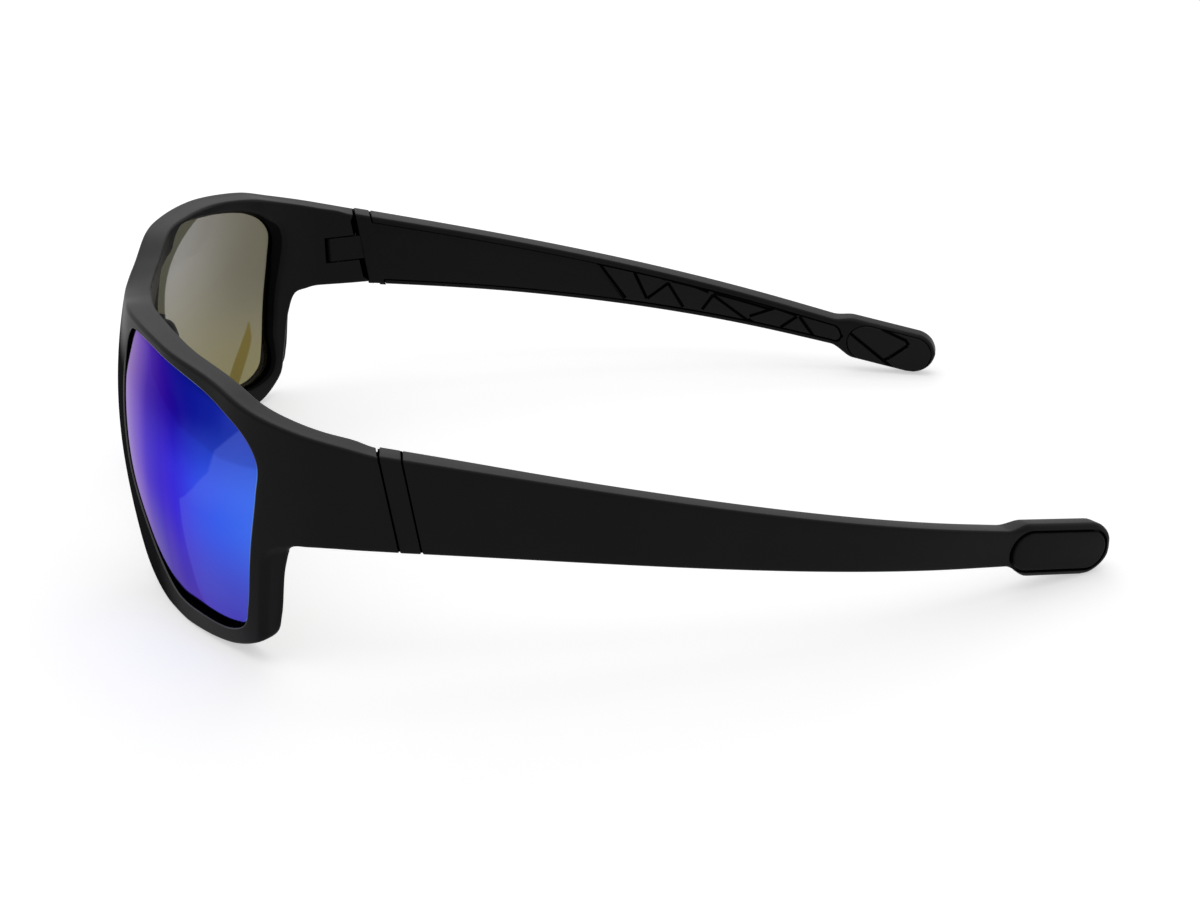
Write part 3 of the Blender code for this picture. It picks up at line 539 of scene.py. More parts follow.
def combine(mesh, other, operation, solver="MANIFOLD"):
    """The mesh cut by, or joined to, another one."""
    target, tool = shown(mesh.name, mesh), shown(other.name, other)
    step = target.modifiers.new("combine", "BOOLEAN")
    step.operation, step.object, step.solver = operation, tool, solver
    bpy.context.view_layer.update()
    graph = bpy.context.evaluated_depsgraph_get()
    made = bpy.data.meshes.new_from_object(target.evaluated_get(graph))
    made.name = mesh.name
    bpy.data.objects.remove(target)
    bpy.data.objects.remove(tool)
    made.shade_smooth()
    made.set_sharp_from_angle(angle=SHARP)
    return made


def prism(name, outline, low, high):
    """An upright bar over a plan outline, between two heights."""
    return as_mesh(skin([[Vector((x, y, z)) for x, y in outline] for z in (low, high)]), name)


def drum(name, levels, sides=40):
    """A turned shape about the hinge pivot, through (radius, height) pairs."""
    rows = []
    for radius, height in levels:
        turns = [2 * math.pi * i / sides for i in range(sides)]
        rows.append([Vector((PIVOT.x + radius * math.cos(t), PIVOT.y + radius * math.sin(t),
                             height)) for t in turns])
    return as_mesh(skin(rows), name)


def both_sides(shape):
    """The skin with its mirror image added, welded where they meet."""
    bmesh.ops.mirror(shape, geom=shape.verts[:] + shape.edges[:] + shape.faces[:],
                     matrix=Matrix.Identity(4), merge_dist=MERGE, axis="X")
    return shape


def placed(name, mesh, body, nodes, finishes):
    """A finished piece: its materials, its body and the nodes that it stands for."""
    painted = [face.material_index for face in mesh.polygons]
    mesh.materials.clear()
    for material in finishes:
        mesh.materials.append(material)
    for face, index in zip(mesh.polygons, painted):
        face.material_index = min(index, len(finishes) - 1)
    made = shown(name, mesh)
    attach(made, body)
    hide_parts(*nodes)
    return made


def pair(name, mesh, bodies, node, finishes):
    """The left piece and its mirrored twin."""
    twin = mesh.copy()
    twin.transform(Matrix.Scale(-1.0, 4, Vector((1.0, 0.0, 0.0))))
    twin.flip_normals()
    for side, shape, body in (("left", mesh, bodies[0]), ("right", twin, bodies[1])):
        shape.name = f"{name}_{side}"
        placed(f"{name}_{side}", shape, body, [f"{node}_{side}"], finishes)


# ---------------------------------------------------------------- the front

def quarter(steps):
    """Sine and cosine over a quarter turn."""
    turns = [math.pi / 2 * i / steps for i in range(steps + 1)]
    return [(math.sin(turn), math.cos(turn)) for turn in turns]


def toward(a, b, steps):
    """Each point of a moved towards b by its own distance, at most a third of the way."""
    return [mix(p, q, min(step / max(math.dist(p, q), 1e-9), 0.33))
            for p, q, step in zip(a, b, steps)]


def on_plane(points):
    """The loop with the stretch that crosses the middle put on the mirror plane."""
    return [(0.0, point[1]) if i >= PLANE_FROM or i == 0 else point
            for i, point in enumerate(points)]


def notch(loop, i):
    """A small round in place of a corner of the hinge gap."""
    point, before, after = loop[i], loop[i - 1], loop[i + 1]
    most = 0.8
    start = mix(point, before, min(GAP_NOTCH / math.dist(point, before), most))
    end = mix(point, after, min(GAP_NOTCH / math.dist(point, after), most))
    return [mix(mix(start, point, share), mix(point, end, share), share)
            for share in (0.0, 0.25, 0.5, 0.75, 1.0)]


def ring(points, depths):
    """The loop's points on the wall, each at its own depth, with the gap's corners rounded."""
    made = []
    for i, (point, depth) in enumerate(zip(points, depths)):
        places = notch(points, i) if i in GAP_CORNERS else [point]
        made += [wall_point(*place, depth) for place in places]
    return made


def front_mesh():
    """One side's rings from the lens opening round to the lens seat, then both sides."""
    ledge = inset(OPENING, [ledge_width(*point) for point in OPENING])
    ledge_back = inset(ledge, [-ledge_flare(*point) for point in OPENING])
    seat = LENS_RECESS + LENS_THICKNESS + CLEARANCE
    shelf = [seat + lerp(NOSE_LEDGE_THICKNESS, LEDGE_THICKNESS, rises(run, LEDGE_THICKENS))
             for run, height in OPENING]
    deep = [front_depth(*point) for point in OUTER]
    edge = [GAP_EDGE if i in ON_GAP else EDGE_ROUND for i in range(len(OUTER))]
    sunk = [relief(*point) for point in OUTER]
    count = len(OUTER)
    rows = []

    def level(depth):
        return [depth] * count

    # over the lens opening's front edge and across the outer face
    for sine, cosine in quarter(LIP_STEPS):
        lip = toward(OPENING, OUTER, level(OPENING_ROUND * (1 - cosine)))
        rows.append(ring(lip, level(OPENING_ROUND * (1 - sine))))
    rim = on_plane(inset(OUTER, edge, True))
    for step in range(1, FACE_STEPS):
        across = [mix(p, q, step / FACE_STEPS) for p, q in zip(lip, rim)]
        rows.append(ring(across, [relief(*point) for point in across]))
    # round the outer edge, back along the wall and round the rear edge
    for sine, cosine in quarter(EDGE_STEPS):
        at = on_plane(inset(OUTER, [e * (1 - sine) for e in edge], True))
        rows.append(ring(at, [s + e * (1 - cosine) for e, s in zip(edge, sunk)]))
    for step in range(1, SIDE_STEPS):
        depths = [lerp(s + e, d - e, step / SIDE_STEPS) for e, s, d in zip(edge, sunk, deep)]
        at = [mix(p, q, depth / d) for p, q, depth, d in zip(OUTER, BACK, depths, deep)]
        rows.append(ring(on_plane(at), depths))
    for sine, cosine in quarter(EDGE_STEPS):
        depths = [d - e * (1 - sine) for e, d in zip(edge, deep)]
        at = [mix(p, q, depth / d) for p, q, depth, d in zip(OUTER, BACK, depths, deep)]
        at = on_plane(inset(at, [e * (1 - cosine) for e in edge], True))
        rows.append(ring(at, [front_depth(*p) - e * (1 - sine) for p, e in zip(at, edge)]))
    # across the back face, down the flared wall to the ledge, and under it to the lens seat
    back_face = [[mix(p, q, step / BACK_STEPS) for p, q in zip(at, ledge_back)]
                 for step in range(1, BACK_STEPS)]
    for across in (*back_face, inset(ledge_back, -FLARE_EDGE)):
        rows.append(ring(across, [front_depth(*point) for point in across]))
    for share in FLARE_SHARES:
        across = [mix(p, q, share) for p, q in zip(ledge_back, ledge)]
        depths = [lerp(front_depth(*p), d, share) for p, d in zip(ledge_back, shelf)]
        rows.append(ring(across, depths))
    rows.append(ring(ledge, [d - LEDGE_SOFT for d in shelf]))
    rows.append(ring(ledge, level(seat)))
    rows.append(ring(OPENING, level(seat)))
    seat_from = len(rows) - SEAT_RINGS
    # the lip rows get a painted highlight, the face rows a painted sheen beside the nose, and
    # the rows by the ledge and round the lens seat painted shade
    paint = {i: LIP for i in range(LIP_STEPS)}
    paint |= {i: FACE for i in range(LIP_STEPS, LIP_STEPS + FACE_STEPS)}
    paint |= {i: LEDGE for i in range(seat_from - len(FLARE_SHARES) + 1, seat_from)}
    paint |= {i: CHANNEL for i in range(seat_from, len(rows))}
    shape = skin(rows, joined=True, paint=paint)
    on_the_plane = [face for face in shape.faces
                    if all(abs(vert.co.x) < MERGE for vert in face.verts)]
    bmesh.ops.delete(shape, geom=on_the_plane, context="FACES")
    # the end face in the hinge gap gets the lens channel's painted shade
    zone_from, facing = ROOT_Y - 2 * MM, 0.9
    shape.normal_update()
    for face in shape.faces:
        in_gap = face.calc_center_median().y > zone_from and abs(face.normal.y) > facing
        if in_gap and face.material_index == MATT:
            face.material_index = CHANNEL
    return as_mesh(both_sides(shape), "front_moulding")


def lens_front_depth(run, height):
    """The lens lies deeper in the rim at its foot, less deep beside the nose."""
    low = LENS_FOOT_DROP * falls(height, LENS_FOOT) * rises(run, LENS_FOOT_IN)
    low *= 1.0 - LENS_FOOT_LESS * rises(run, LENS_FOOT_OUT)
    nose = LENS_NOSE_RISE * falls(run, LENS_NOSE) * falls(height, LENS_BROW)
    return LENS_RECESS + low - nose


def lens_gap(run, height):
    """The clearance round the lens, a little wider at its lower outer corner."""
    corner = rises(run, LENS_CORNER_RUN) * falls(height, LENS_CORNER_HEIGHT)
    return LENS_CLEARANCE + LENS_CORNER_GAP * corner


def lens_mesh():
    """A sheet: rings from its middle out over the coated face and back over the inner one."""
    coating, body, painted_highlight_edge = range(3)
    rings, edge_steps = 16, 4
    hub, inner_share = 0.015, 0.99
    middle = (0.5 * FRONT_RUN, 0.5 * FRONT_HEIGHT)
    edge = inset(OPENING, [lens_gap(*point) for point in OPENING])
    shares = [hub] + [step / rings for step in range(1, rings)]
    soft = LENS_EDGE_ROUND
    back = LENS_RECESS + LENS_THICKNESS
    rows = []

    def row(loop, depths):
        rows.append(ring(loop, depths))

    def between(share):
        return [mix(middle, point, share) for point in edge]

    for share in shares:
        loop = between(share)
        row(loop, [lens_front_depth(*point) for point in loop])
    rounded = inset(edge, soft)
    for sine, cosine in quarter(edge_steps):
        loop = [mix(p, q, sine) for p, q in zip(rounded, edge)]
        row(loop, [lens_front_depth(*p) + soft * (1 - cosine) for p in loop])
    inner_from = len(rows) - 1
    row(edge, [back - soft / 2] * len(edge))
    row(inset(edge, soft / 2), [back] * len(edge))
    for share in reversed(shares):
        row(between(share * inner_share), [back] * len(edge))
    paint = {i: coating for i in range(inner_from - edge_steps)}
    # the coating's rounded edge carries a painted highlight
    paint |= {i: painted_highlight_edge for i in range(inner_from - edge_steps, inner_from)}
    paint |= {i: body for i in range(inner_from, len(rows))}
    shape = skin(rows, paint=paint)
    cap = max(shape.faces, key=lambda face: (len(face.verts), face.calc_center_median().y))
    cap.material_index = body
    return as_mesh(shape, "lens")


# Rings of a nose rest from the front's back face up, as (size, rise): a foot with a step,
# then a domed cushion.
PAD_RINGS = (
    (0.90, 0.0), (0.96, 0.03), (0.99, 0.08), (1.0, 0.14), (1.0, 0.3), (0.99, 0.42),
    (0.985, 0.455), (0.955, 0.47), (0.925, 0.475), (0.905, 0.49), (0.895, 0.53),
    (0.88, 0.62), (0.85, 0.70), (0.80, 0.78), (0.72, 0.86), (0.62, 0.92),
    (0.5, 0.96), (0.38, 0.985), (0.26, 0.995), (0.14, 1.0), (0.04, 1.0),
)
PAD_RIBS_FROM = 0.55          # the rise where its cross ribs begin


def nose_pad_mesh():
    """An oval cushion between the ends of the rest, with shallow grooves across it."""
    low, high = Vector(PAD_LOW), Vector(PAD_HIGH)
    middle = (low + high) / 2
    along = (high - low).normalized()
    across = Vector((along.y, -along.x))
    half_length = (high - low).length / 2 + PAD_OVERHANG
    sides = 96
    rows = []
    for size, rise in PAD_RINGS:
        row = []
        for i in range(sides):
            turn = 2 * math.pi * i / sides
            point = middle + along * half_length * size * math.cos(turn)
            point += across * PAD_HALF_WIDTH * size * math.sin(turn)
            taller = PAD_EXTRA_THICKNESS * falls(point.x, PAD_THICKER)
            lift = (PAD_THICKNESS + taller + nose_scoop(*point)) * rise
            if rise > PAD_RIBS_FROM:
                wave = math.cos(half_length * size * math.cos(turn) / RIB_PITCH * math.pi)
                lift -= RIB_DEPTH * rises(1.0 - size, RIB_FADE) * rises(wave, RIB_CREST)
            depth = front_depth(point.x, point.y) + PAD_CLEARANCE + lift
            row.append(wall_point(point.x, point.y, depth))
        rows.append(row)
    return as_mesh(skin(rows), "nose_pad")


# ---------------------------------------------------------------- the hinge

ROOT_X, ROOT_Y, _ = wall_plan(FRONT_RUN)
ACROSS_END = 1.0 / math.sin(END_HEADING)


def end_inner_x(y):
    """X of the end piece's inner face."""
    return ROOT_X + (y - ROOT_Y) / math.tan(END_HEADING) - FRONT_DEPTH * ACROSS_END


PIVOT_Y = ROOT_Y - PIVOT_BEFORE_GAP
PIVOT = Vector((end_inner_x(PIVOT_Y) + TONGUE_RADIUS * ACROSS_END, PIVOT_Y, 0.0))
TONGUE_LOW = TONGUE_LEVEL - TONGUE_HEIGHT / 2
TONGUE_HIGH = TONGUE_LEVEL + TONGUE_HEIGHT / 2
SCREW_SEAT = END_BOTTOM + HEAD_SINK + SCREW_HEAD_HEIGHT
INSERT_LOW = TONGUE_HIGH + CLEARANCE + INSERT_RISE
INSERT_TOP = INSERT_LOW + INSERT_LENGTH
GAP_FOOT = GAP_LEAN * math.sin(END_HEADING)
BLOCK_START = ROOT_Y + GAP_FOOT / 2 + GAP
BLOCK_END = BLOCK_START + BLOCK_LENGTH
SHELL_START = BLOCK_END + GAP
OVERCUT = 2.0 * MM


def arc(centre, radius, start, end, steps):
    """Plan points round a centre, from one angle to another in degrees."""
    turns = [math.radians(lerp(start, end, i / steps)) for i in range(steps + 1)]
    return [(centre.x + radius * math.cos(turn), centre.y + radius * math.sin(turn))
            for turn in turns]


def slot_mesh():
    """The room that the tongue turns in."""
    reach = TONGUE_RADIUS + CLEARANCE
    front = PIVOT.y - reach - SLOT_FRONT_ROOM
    open_x = end_inner_x(PIVOT.y - reach) - OVERCUT
    open_y = ROOT_Y + GAP_FOOT + OVERCUT
    outline = [(open_x, open_y), (open_x, front), (PIVOT.x, front)]
    outline += arc(PIVOT, reach, -75, 0, 14)
    outline.append((PIVOT.x + reach, open_y))
    return prism("hinge_slot", outline, TONGUE_LOW - CLEARANCE, TONGUE_HIGH + CLEARANCE)


def tongue_mesh():
    """The tongue: round about the pivot, with a corner that reaches the inner face."""
    back = BLOCK_START + GAP_FOOT / 2 + TONGUE_ROOT
    corner = TONGUE_CORNER
    side = Vector((end_inner_x(PIVOT.y - TONGUE_CORNER_FROM) + corner,
                   PIVOT.y - TONGUE_FRONT + corner))
    outline = arc(side, corner, 90 + math.degrees(END_HEADING), 270, 8)
    outline += arc(PIVOT, TONGUE_RADIUS, 275, 360, 14)
    outline.append((PIVOT.x + TONGUE_RADIUS, back))
    outline.append((end_inner_x(back), back))
    return prism("hinge_tongue", outline, TONGUE_LOW, TONGUE_HIGH)


def screw_mesh():
    low = SCREW_SEAT - SCREW_HEAD_HEIGHT
    soft = SCREW_EDGE
    levels = ((SCREW_HEAD_RADIUS - soft, low), (SCREW_HEAD_RADIUS, low + soft),
              (SCREW_HEAD_RADIUS, SCREW_SEAT - soft / 2), (SCREW_RADIUS, SCREW_SEAT),
              (SCREW_RADIUS, INSERT_TOP - CLEARANCE - soft),
              (SCREW_RADIUS - soft, INSERT_TOP - CLEARANCE))
    mesh = drum("hinge_screw", levels, 48)
    for wide, tall in ((DRIVE_REACH, DRIVE_HALF_WIDTH), (DRIVE_HALF_WIDTH, DRIVE_REACH)):
        outline = [(PIVOT.x + i * wide, PIVOT.y + j * tall)
                   for i, j in ((-1, -1), (1, -1), (1, 1), (-1, 1))]
        cross = prism("drive", outline, low - OVERCUT, low + DRIVE_DEPTH)
        mesh = combine(mesh, cross, "DIFFERENCE")
    return mesh


def bore_mesh(name, radius, low, high):
    """A cutter about the pivot, half a clearance wider than what it holds."""
    wide = radius + CLEARANCE / 2
    return drum(name, ((wide, low), (wide, high)))


def bored_front_mesh():
    """The front with its tongue slots and the bores for screw, head and insert."""
    room = slot_mesh()
    for bore in (
        bore_mesh("screw_bore", SCREW_RADIUS, END_BOTTOM - OVERCUT, TONGUE_LEVEL),
        bore_mesh("head_recess", SCREW_HEAD_RADIUS, END_BOTTOM - OVERCUT,
                  SCREW_SEAT + CLEARANCE / 2),
        bore_mesh("insert_bore", INSERT_RADIUS, TONGUE_LEVEL, INSERT_TOP + CLEARANCE / 2),
    ):
        room = combine(room, bore, "UNION")
    rooms = bmesh.new()
    rooms.from_mesh(room)
    cutter = as_mesh(both_sides(rooms), room.name)
    return combine(front_mesh(), cutter, "DIFFERENCE", "EXACT")


# ---------------------------------------------------------------- the temples

def temple_x(along):
    """X of a temple's outer face, and its slope: a bow, then a straight toe-in."""
    share = (along - ROOT_Y) / BOW_LENGTH
    if share > 1.0:
        return ROOT_X - BOW_IN + TOE_IN_SLOPE * (share - 1.0) * BOW_LENGTH, TOE_IN_SLOPE
    first, last = ROOT_SLOPE * BOW_LENGTH, TOE_IN_SLOPE * BOW_LENGTH
    square = -3 * BOW_IN - 2 * first - last
    cube = 2 * BOW_IN + first + last
    x = ROOT_X + first * share + square * share ** 2 + cube * share ** 3
    return x, (first + 2 * square * share + 3 * cube * share ** 2) / BOW_LENGTH


def temple_point(along, height, depth):
    """The point at a depth inside a temple's outer face."""
    x, slope = temple_x(along)
    length = math.hypot(1.0, slope)
    return Vector((x - depth / length, along + depth * slope / length, height))


def thickness(along):
    """A temple's thickness, which tapers off behind the hinge."""
    root = 1.0 - smooth_step(along, ROOT_Y, ROOT_Y + ROOT_TAPER)
    return TEMPLE_THICKNESS + ROOT_EXTRA_THICKNESS * root


PADDLE_END = ROOT_Y + TEMPLE_LENGTH - PADDLE_RADIUS
PADDLE_START = PADDLE_END - PADDLE_SPAN
PADDLE_LEAN = math.atan(PADDLE_FALL)
GRIP_END = PADDLE_START - GRIP_BEFORE_PADDLE


def paddle_axis(along):
    return PADDLE_RADIUS + PADDLE_FALL * (PADDLE_END - along)


def paddle_edges(along, radius):
    """Lower and upper edge heights of the leaning oval paddle."""
    tilt = radius * math.sin(PADDLE_LEAN)
    flat = radius / math.cos(PADDLE_LEAN)
    past = along - PADDLE_END
    axis = paddle_axis(along)
    centre = paddle_axis(PADDLE_END)
    cap = math.sqrt(max(radius ** 2 - past ** 2, 0.0))
    low = axis - flat if past < -tilt else centre - cap
    high = axis + flat if past < tilt else centre + cap
    return low, high


def edges(along, margin=0.0):
    """Lower and upper edge heights of the temple at a Y, less a margin."""
    out = along - ROOT_Y
    top = END_TOP - TOP_STEP - TOP_FALL * out - TOP_CURVE * out ** 2
    bottom = END_BOTTOM - BOTTOM_FALL * out - BOTTOM_CURVE * out ** 2
    share = smooth_step(along, PADDLE_START - NECK_LENGTH, PADDLE_START)
    return mix((bottom + margin, top - margin),
               paddle_edges(along, PADDLE_RADIUS - margin), share)


def stations(start, end, step):
    """Even places from start to end, about a step apart."""
    count = max(round((end - start) / step), 1)
    return [start + (end - start) * i / count for i in range(count + 1)]


def strip(along, levels, faces, edge, lean=None, draft=(0.0, 0.0), ends=(0.0, 0.0), corner=0.0,
          turn_steps=4, face_steps=4, soft=None):
    """A bar that follows the temple, with rounded long edges.

    along holds its stations, levels(y) its lower and upper edge, faces(y) its outer and
    inner face. lean(y) is how much further back its foot is than its top. ends rounds
    its two end faces, and corner rounds their upper and lower corners. soft(y) is added
    to edge.
    """
    first, last = along[0], along[-1]
    most_height, most_depth, end_steps = 0.3, 0.45, 4
    places = [(y, 0.0) for y in along]
    for which, amount in ((0, ends[0]), (-1, ends[1])):
        if amount:
            away = 1 if which == 0 else -1
            reach = max(amount, corner)
            at = first if which == 0 else last
            extra = [(at + away * reach * (1 - cosine), 1 - sine)
                     for sine, cosine in quarter(end_steps)]
            places = [p for p in places if abs(p[0] - at) > reach]
            places = extra + places if which == 0 else places + list(reversed(extra))
    rows = []
    for station, shrink in places:
        at_start = abs(station - first) < abs(station - last)
        amount = ends[0] if at_start else ends[1]
        low, high = levels(station)
        outer, inner = faces(station)
        outer, inner = outer + amount * shrink, inner - amount * shrink
        height = high - low
        rise_in = max(corner, amount) * shrink
        e = edge + (soft(station) if soft else 0.0)
        e = min(e, height * most_height, (inner - outer) * most_depth)
        section = []

        def round_corner(rise, depth, rise_way, depth_way, reverse):
            bend = [(rise + rise_way * e * (1 - sine), depth + depth_way * e * (1 - cosine))
                    for sine, cosine in quarter(turn_steps)]
            section.extend(reversed(bend) if reverse else bend)

        def straight(a, b):
            section.extend(mix(a, b, i / face_steps) for i in range(1, face_steps))

        inner_low, inner_high = rise_in + draft[0], height - rise_in - draft[1]
        round_corner(rise_in, outer, 1, 1, False)
        round_corner(inner_low, inner, 1, -1, True)
        straight((inner_low + e, inner), (inner_high - e, inner))
        round_corner(inner_high, inner, -1, -1, False)
        round_corner(height - rise_in, outer, -1, 1, True)
        straight((height - rise_in - e, outer), (rise_in + e, outer))
        row = []
        for rise, depth in section:
            share = rise / height
            y = station + (0.5 - share) * (lean(station) if lean else 0.0)
            row.append(temple_point(y, lerp(*levels(y), share), depth))
        rows.append(row)
    return skin(rows)


def fading_lean(amount, at):
    """A lean that is whole at one place and fades out on both sides of it."""
    reach = 2.5 * amount
    return lambda y: amount * max(0.0, 1.0 - abs(y - at) / reach)


def tip_round(y):
    """How far the paddle's faces draw in towards its very end."""
    left = min(max(PADDLE_END + PADDLE_RADIUS - y, 0.0) / TIP_ROUND_REACH, 1.0)
    return TIP_ROUND * (1.0 - math.sqrt(1.0 - (1.0 - left) ** 2))


def shell_mesh():
    """The outer cover, from the hinge block to the end of the paddle."""
    neck_start = PADDLE_START - NECK_LENGTH
    coarse, medium, fine, least = 2 * MM, 1.5 * MM, 0.5 * MM, 0.1 * MM
    last_turn, turn_count = 86, 20
    straight = stations(SHELL_START, neck_start, coarse)
    neck = stations(neck_start, PADDLE_START, fine)[1:]
    paddle = stations(PADDLE_START, PADDLE_END - PADDLE_RADIUS * PADDLE_FALL, medium)[1:]
    turns = [math.radians(last_turn * (i + 1) / turn_count) for i in range(turn_count)]
    cap = [PADDLE_END + PADDLE_RADIUS * math.sin(turn) for turn in turns]
    along = [*straight, *neck, *paddle, *[y for y in cap if y > paddle[-1] + least]]
    shape = strip(along, edges, lambda y: (tip_round(y), thickness(y) - tip_round(y)),
                  TEMPLE_EDGE, fading_lean(GAP_FOOT, SHELL_START), (INNER_DRAFT, TOP_DRAFT),
                  (GAP_EDGE, 0.0), GAP_NOTCH, turn_steps=6,
                  soft=lambda y: NECK_SOFTER * smooth_step(y, neck_start, PADDLE_START))
    return as_mesh(shape, "temple_shell")


def plain_levels(y, clear=0.0):
    """Lower and upper edge heights of the channel inside the shell."""
    return edges(y, SHELL_LIP + INNER_DRAFT + clear)


def channel_levels(y):
    """The same, with the channel's rear end rounded."""
    low, high = plain_levels(y)
    half = (high - low) / 2
    past = max(y - (GRIP_END - half), 0.0)
    round_half = math.sqrt(max(half ** 2 - past ** 2, (BLUNT * half) ** 2))
    middle = (low + high) / 2
    return middle - round_half, middle + round_half


def channel_mesh():
    """The cutter for the shell's channel."""
    round_from = GRIP_END - PADDLE_RADIUS / 2
    along = stations(SHELL_START - GAP_FOOT - OVERCUT, round_from, 4 * MM)
    along += stations(round_from, GRIP_END + CLEARANCE, 0.25 * MM)[1:]
    shape = strip(along, channel_levels,
                  lambda y: (thickness(y) - CHANNEL_DEPTH, thickness(y) + OVERCUT),
                  0.02 * MM, turn_steps=1, face_steps=1)
    return as_mesh(shape, "temple_channel")


def core_plate_mesh():
    """The inner plate, from the hinge block to the grip."""
    start = BLOCK_START + BLOCK_LENGTH / 2
    along = stations(start, ROOT_Y + GRIP_START, 2 * MM)
    shape = strip(along, lambda y: plain_levels(y, PLATE_CLEARANCE),
                  lambda y: (thickness(y) - CHANNEL_DEPTH + CLEARANCE,
                             thickness(y) - PLATE_SINK),
                  PLATE_EDGE, fading_lean(GRIP_START_LEAN, along[-1]), turn_steps=3)
    return as_mesh(shape, "core_plate")


def block_mesh():
    """The solid block between the two gaps at the hinge."""
    shape = strip(stations(BLOCK_START, BLOCK_END, 0.8 * MM), edges,
                  lambda y: (0.0, thickness(y)), TEMPLE_EDGE, lambda y: GAP_FOOT,
                  (INNER_DRAFT, TOP_DRAFT), (GAP_EDGE, GAP_EDGE), GAP_NOTCH)
    return as_mesh(shape, "hinge_block")


def collar_mesh(start, end, margin, outer, inner):
    """A sunk collar in a hinge gap, which keeps light from passing through it. Its faces take
    the lens channel's dark painted shade.
    """
    low, high = edges(start)
    lean = GAP_FOOT * (1.0 - 2 * margin / (high - low))
    shape = strip([start, end], lambda y: edges(y, margin), lambda y: (outer, inner),
                  0.1 * MM, lambda y: lean, turn_steps=1, face_steps=1)
    for face in shape.faces:
        face.material_index = CHANNEL
    return as_mesh(shape, "collar")


def core_mesh():
    """Plate, block, tongue and collars in one, bored for the screw."""
    mesh = core_plate_mesh()
    collars = [collar_mesh(BLOCK_START + start * MM, BLOCK_START + end * MM, margin * MM,
                           outer * MM, inner * MM)
               for start, end, margin, outer, inner in COLLARS]
    rear = collar_mesh(BLOCK_END - REAR_COLLAR_LENGTH, SHELL_START - REAR_COLLAR_GAP,
                       REAR_COLLAR_MARGIN, REAR_COLLAR_SINK,
                       thickness(SHELL_START) - REAR_COLLAR_SINK)
    for piece in (block_mesh(), tongue_mesh(), *collars, rear):
        mesh = combine(mesh, piece, "UNION")
    bore = bore_mesh("tongue_bore", SCREW_RADIUS, TONGUE_LOW - OVERCUT, TONGUE_HIGH + OVERCUT)
    return combine(mesh, bore, "DIFFERENCE")


def temple_grip_mesh():
    """The rubber insert that fills the channel behind the plate."""
    start = ROOT_Y + GRIP_START + GRIP_START_CLEARANCE
    end = GRIP_END - CLEARANCE
    round_from = GRIP_END - PADDLE_RADIUS / 2
    along = stations(start, round_from, 1.5 * MM) + stations(round_from, end, 0.2 * MM)[1:]

    def levels(y):
        low, high = channel_levels(y + CLEARANCE * smooth_step(y, round_from, end))
        clear = min(GRIP_CLEARANCE, (high - low) * GRIP_CLEARANCE_SHARE)
        return low + clear, high - clear

    shape = strip(along, levels,
                  lambda y: (thickness(y) - CHANNEL_DEPTH + CLEARANCE,
                             thickness(y) + GRIP_STANDS_OUT),
                  GRIP_EDGE, fading_lean(GRIP_START_LEAN, start), turn_steps=3)
    return as_mesh(shape, "temple_grip")


def stadium(margin, start_shift, levels, name, sides=96):
    """A long oval bar in the paddle; levels holds (inset, depth) from its outer side."""
    rows = []
    for step_in, depth in levels:
        radius = PADDLE_RADIUS - margin - step_in
        row = []
        for i in range(sides):
            turn = 2 * math.pi * (i + 0.5) / sides
            centre = PADDLE_END if math.cos(turn) > 0 else PADDLE_START + start_shift
            along = centre + radius * math.cos(turn - PADDLE_LEAN)
            level = paddle_axis(centre) + radius * math.sin(turn - PADDLE_LEAN)
            row.append(temple_point(along, level, depth))
        rows.append(row)
    return as_mesh(skin(rows), name)


# Grooves of the grip surfaces, as paths of (Y, height) in millimetres. They outline plain
# slanting facets.
GRIP_GROOVES = (
    ((12.7, 24.7), (18.8, 16.3)), ((20.8, 22.4), (23.7, 16.1)), ((23.9, 16.1), (28.6, 19.6)),
    ((28.6, 19.6), (32.0, 14.05)), ((29.5, 20.1), (35.0, 18.7), (37.7, 17.55)),
    ((36.45, 13.5), (38.8, 16.85)), ((38.8, 16.85), (46.6, 11.1)), ((47.2, 12.1), (52.8, 14.2)),
    ((46.9, 11.3), (49.5, 9.6)), ((52.8, 14.2), (57.3, 12.8)), ((54.2, 9.8), (57.55, 12.4)),
    ((58.2, 12.4), (61.6, 7.6)), ((20.8, 22.5), (28.0, 20.5)), ((39.0, 17.3), (51.5, 13.9)),
)
TIP_GROOVES = (
    ((68.9, 9.3), (79.7, 0.4)), ((76.0, 3.1), (77.6, 3.9)), ((77.8, 4.1), (81.2, 7.0)),
    ((74.9, 10.9), (80.8, 8.2), (81.4, 7.25)),
)


def groove_mesh(path, face):
    """A V-shaped cutter along a path on the inner side, under face(y)."""
    points = [Vector((y * MM, z * MM)) for y, z in path]
    rows = []
    for i, point in enumerate(points):
        before, after = points[max(i - 1, 0)], points[min(i + 1, len(points) - 1)]
        way = (after - before).normalized()
        side = Vector((-way.y, way.x))
        end_push = (i == len(points) - 1) - (i == 0)
        at = point + way * GROOVE_PAST_END * end_push
        row = []
        for across, down in GROOVE_SECTION:
            place = at + side * across * GROOVE_WIDTH
            row.append(temple_point(place.x, place.y, face(place.x) - down * GROOVE_DEPTH))
        rows.append(row)
    cutter = skin(rows)
    # the groove walls carry the grooves' painted shade into the grip
    for side_face in cutter.faces:
        side_face.material_index = GROOVE
    return as_mesh(cutter, "groove")


def grooved(mesh, grooves, face):
    """The mesh with all its grooves cut in, and the slivers that they leave closed up."""
    for path in grooves:
        mesh = combine(mesh, groove_mesh(path, face), "DIFFERENCE")
    shape = bmesh.new()
    shape.from_mesh(mesh)
    bmesh.ops.remove_doubles(shape, verts=shape.verts, dist=SLIVER)
    shape.to_mesh(mesh)
    shape.free()
    return mesh


TIP_FACE = TEMPLE_THICKNESS + GRIP_STANDS_OUT


def grip_face(y):
    """Depth of the side grip's surface."""
    return thickness(y) + GRIP_STANDS_OUT


